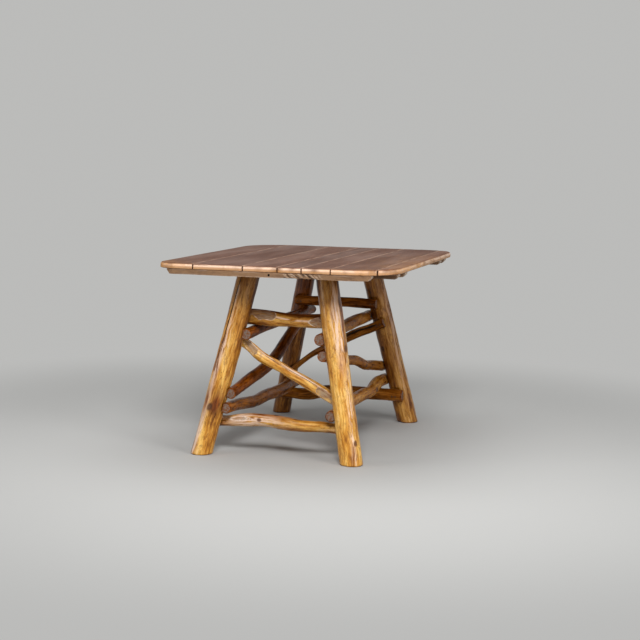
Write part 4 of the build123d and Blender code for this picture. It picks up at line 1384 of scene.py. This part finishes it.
def turned_form(profile: list[tuple[float, float]], around: int) -> tuple[np.ndarray, list[list[int]]]:
    """A form turned about Z.

    Args:
        profile: each ring's reach and height, from a point on the axis. A last point on it closes the form.
        around: how many points a ring has.

    Returns:
        The points and the faces.
    """
    angles = np.linspace(0.0, FULL_TURN, around, endpoint=False)
    closed = profile[-1][0] == 0.0
    rings = profile[1:-1] if closed else profile[1:]
    points = [(0.0, 0.0, profile[0][1])]
    for reach, height in rings:
        points += [(reach * math.cos(a), reach * math.sin(a), height) for a in angles]
    steps = [(i, (i + 1) % around) for i in range(around)]
    faces = [[0, 1 + i, 1 + j] for i, j in steps]
    for ring in range(len(rings) - 1):
        near, far = 1 + ring * around, 1 + (ring + 1) * around
        faces += [[near + i, far + i, far + j, near + j] for i, j in steps]
    if closed:
        near, end = len(points) - around, len(points)
        points.append((0.0, 0.0, profile[-1][1]))
        faces += [[end, near + j, near + i] for i, j in steps]
    return np.array(points), faces


@dataclass(frozen=True)
class FastenerKind:
    """A nail or a screw, as a head at the origin with its top at height 0, and a shank below it."""

    slot: Slot
    radius: float  # of the head
    shank: float  # radius
    depth: float  # of the head
    crown: float = 0.0  # how far the head's middle stands above its rim
    slot_width: float = 0.0  # 0 on a nail
    around: int = 20

    SHARP = math.radians(35.0)

    def turn(self, name: str, profile: list[tuple[float, float]]) -> Piece:
        """A form turned about Z, of this kind's steel."""
        piece = new_piece(name, *turned_form(profile, self.around))
        piece.data.materials.append(MATERIALS[self.slot])
        return piece

    def head(self) -> Piece:
        """The head, with a slot where it has one."""
        rim, top = self.radius, -self.crown
        foot = self.shank * 1.02 if self.slot_width else rim * 0.98
        piece = self.turn("head", [
            (0.0, 0.0), (rim * 0.45, top + self.crown * 0.85), (rim * 0.8, top + self.crown * 0.4),
            (rim * 0.97, top), (rim, top - 0.25 * MM), (foot, -self.depth), (0.0, -self.depth),
        ])
        if self.slot_width:
            self.cut_slot(piece)
        piece.data.set_sharp_from_angle(angle=self.SHARP)
        return piece

    def cut_slot(self, piece: Piece) -> None:
        """Presses the driver's slot into a head."""
        work = bmesh.new()
        work.from_mesh(piece.data)
        wall, floor = self.slot_width / 2.0, self.slot_width / 2.3
        for place in (-wall, -floor, floor, wall):
            cut = (*work.verts, *work.edges, *work.faces)
            bmesh.ops.bisect_plane(work, geom=cut, plane_co=(0.0, place, 0.0), plane_no=(0, 1, 0))
        for vertex in work.verts:
            if abs(vertex.co.y) < (wall + floor) / 2.0 and vertex.co.z > -0.3 * self.depth:
                vertex.co.z = -0.45 * self.depth
        work.to_mesh(piece.data)
        work.free()

    def body(self) -> Piece:
        """The shank, one metre long, to be scaled."""
        return self.turn("shank", [(0.0, -0.03), (self.shank, -0.03), (self.shank, -0.90), (0.0, -1.0)])


@dataclass
class Ironwork:
    """The nails and the screws."""

    nail: FastenerKind = FastenerKind(Slot.NAIL, 4.9 * MM, 2.2 * MM, 2.1 * MM, crown=0.7 * MM)
    screw: FastenerKind = FastenerKind(Slot.SCREW, 4.4 * MM, 2.2 * MM, 2.5 * MM, slot_width=1.1 * MM)

    def bodies(self, node: str) -> list[np.ndarray]:
        """The points of each of a node's solids."""
        work = bmesh.new()
        work.from_mesh(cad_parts[node].data)
        bmesh.ops.remove_doubles(work, verts=work.verts, dist=0.01 * MM)
        left = set(work.verts)
        bodies = []
        while left:
            body = set()
            edge = {min(left, key=lambda vertex: vertex.index)}
            while edge:
                body |= edge
                edge = {e.other_vert(v) for v in edge for e in v.link_edges} - body
            left -= body
            ordered = sorted(body, key=lambda vertex: vertex.index)
            bodies.append(np.array([vertex.co[:] for vertex in ordered]))
        work.free()
        return bodies

    def place_of(self, points: np.ndarray) -> tuple[np.ndarray, np.ndarray, float]:
        """Where a nail or screw is.

        Args:
            points: the points of its solid.

        Returns:
            The middle of its head's top, its direction out of the wood, and its length.
        """
        middle = points.mean(0)
        way = np.linalg.svd(points - middle, full_matrices=False)[2][0]
        reach = (points - middle) @ way
        beside = np.linalg.norm(points - middle - reach[:, None] * way, axis=1)
        if reach[np.argmax(beside)] < 0:
            way, reach = -way, -reach
        rim = points[reach > reach.max() - 0.3 * MM]
        top = rim.mean(0) if len(rim) > 2 else middle + way * reach.max()
        return top, way, np.ptp(reach)

    def make(self) -> list[Piece]:
        """The pieces."""
        tree = Fasteners()
        pieces = []
        for kind, ending in ((self.nail, "_nails"), (self.screw, "_screws")):
            head, body = kind.head(), kind.body()
            for node in sorted(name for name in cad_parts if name.endswith(ending)):
                tops, ways, lengths = zip(*(self.place_of(points) for points in self.bodies(node)))
                piece = new_piece(node + "_iron", np.array(tops), [])
                spins = np.random.default_rng(len(tops)).uniform(0.0, math.pi, len(tops))
                turns = []
                for way, spin in zip(ways, spins):
                    spun = Matrix.Rotation(spin, 3, "Z").to_quaternion()
                    turns.append(tuple((Vector(way).to_track_quat("Z", "Y") @ spun).to_euler()))
                set_attribute(piece, "turn", np.array(turns))
                set_attribute(piece, "length", np.array(lengths))
                tree.run(piece, kind.slot, Head=head, Shank=body)
                pieces.append(deliver(piece, node))
            for template in (head, body):
                bpy.data.objects.remove(template)
        return pieces


@dataclass(frozen=True)
class Lamp:
    """A soft lamp that looks at a point."""

    name: str
    place: Place
    size: tuple[float, float]
    power: float
    target: Place = (0.0, 0.0, 0.3)

    def make(self) -> None:
        """Hangs the lamp."""
        data = bpy.data.lights.new(self.name, "AREA")
        data.shape = "RECTANGLE"
        data.size, data.size_y = self.size
        data.energy = self.power
        lamp = bpy.data.objects.new(self.name, data)
        bpy.context.scene.collection.objects.link(lamp)
        lamp.location = self.place
        lamp.rotation_euler = (Vector(self.target) - Vector(self.place)).to_track_quat("-Z", "Y").to_euler()


@dataclass
class Studio:
    """The camera, the floor and the lights."""

    camera_place: Place = (1.6345, -5.7132, 1.1670)
    yaw: float = 0.2751  # to the left of +Y, in radians
    pitch: float = 0.1152  # down
    roll: float = 0.0173
    lens: float = 82.76
    paint: Colour = (0.49, 0.49, 0.48)
    far: Colour = (0.50, 0.50, 0.49)
    ambient: float = 0.13
    sweep: float = 6.0  # how far from the middle the floor starts to rise into the backdrop
    bend: float = 2.0  # radius of that rise
    height: float = 9.0  # of the backdrop
    lamps: tuple[Lamp, ...] = (
        Lamp("key", (1.1, -3.9, 3.3), (1.4, 1.4), 178.0),
        Lamp("side", (3.3, -2.2, 1.9), (1.2, 1.8), 55.0),
        Lamp("fill", (-3.2, -2.4, 1.3), (1.4, 1.4), 29.0),
        Lamp("overhead", (-0.2, 0.2, 3.2), (2.6, 2.6), 55.0, target=(0.0, 0.0, 0.0)),
    )

    def set_camera(self) -> None:
        """Sets the camera."""
        level = math.cos(self.pitch)
        ahead = Vector((math.sin(-self.yaw) * level, math.cos(-self.yaw) * level, -math.sin(self.pitch)))
        right = Vector((math.cos(-self.yaw), -math.sin(-self.yaw), 0.0))
        up = right.cross(ahead)
        turned = right * math.cos(self.roll) + up * math.sin(self.roll)
        up = up * math.cos(self.roll) - right * math.sin(self.roll)
        data = bpy.data.cameras.new("camera")
        data.lens = self.lens
        data.sensor_width = 36.0
        data.clip_end = 60.0
        camera = bpy.data.objects.new("camera", data)
        bpy.context.scene.collection.objects.link(camera)
        turn = Matrix((turned, up, -ahead)).transposed().to_4x4()
        camera.matrix_world = Matrix.Translation(self.camera_place) @ turn
        bpy.context.scene.camera = camera

    def lay_floor(self) -> None:
        """Lays a floor that sweeps up into a backdrop all round, far from the table."""
        steps = [(0.0, 0.0), (4.0, 0.0), (self.sweep, 0.0)]
        steps += [(self.sweep + self.bend * math.sin(a), self.bend - self.bend * math.cos(a))
                  for a in np.linspace(0.0, math.pi / 2.0, 12)[1:]]
        steps.append((self.sweep + self.bend, self.height))
        floor = new_piece("floor", *turned_form(steps, around=96))
        floor.data.materials.append(FloorFinish("floor_paint", self.paint, self.far).make())

    def light(self) -> None:
        """Hangs the lamps and sets the world."""
        for lamp in self.lamps:
            lamp.make()
        world = bpy.data.worlds.new("studio")
        world.use_nodes = True
        world.node_tree.nodes.clear()
        sky = Wiring(world.node_tree)
        level = sky.math("ADD", self.ambient, sky.math("MULTIPLY", sky.seen(), self.far[0] - self.ambient))
        sky.add("ShaderNodeOutputWorld", Surface=sky.add("ShaderNodeBackground", Strength=level).outputs[0])
        bpy.context.scene.world = world
        bpy.context.scene.view_settings.view_transform = "Standard"

    def make(self) -> None:
        """Builds the studio."""
        self.set_camera()
        self.lay_floor()
        self.light()


MATERIALS = {slot: finish.make() for slot, finish in FINISHES.items()}
RELIEF = Relief()


def main() -> None:
    """Builds the table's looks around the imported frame."""
    logging.basicConfig(level=logging.INFO, format="%(name)s: %(message)s")
    Studio().make()
    for assembly in (Top(), Logs(), Ironwork()):
        pieces = assembly.make()
        LOG.info("%s: %d pieces", type(assembly).__name__, len(pieces))


if __name__ == "__main__":
    main()
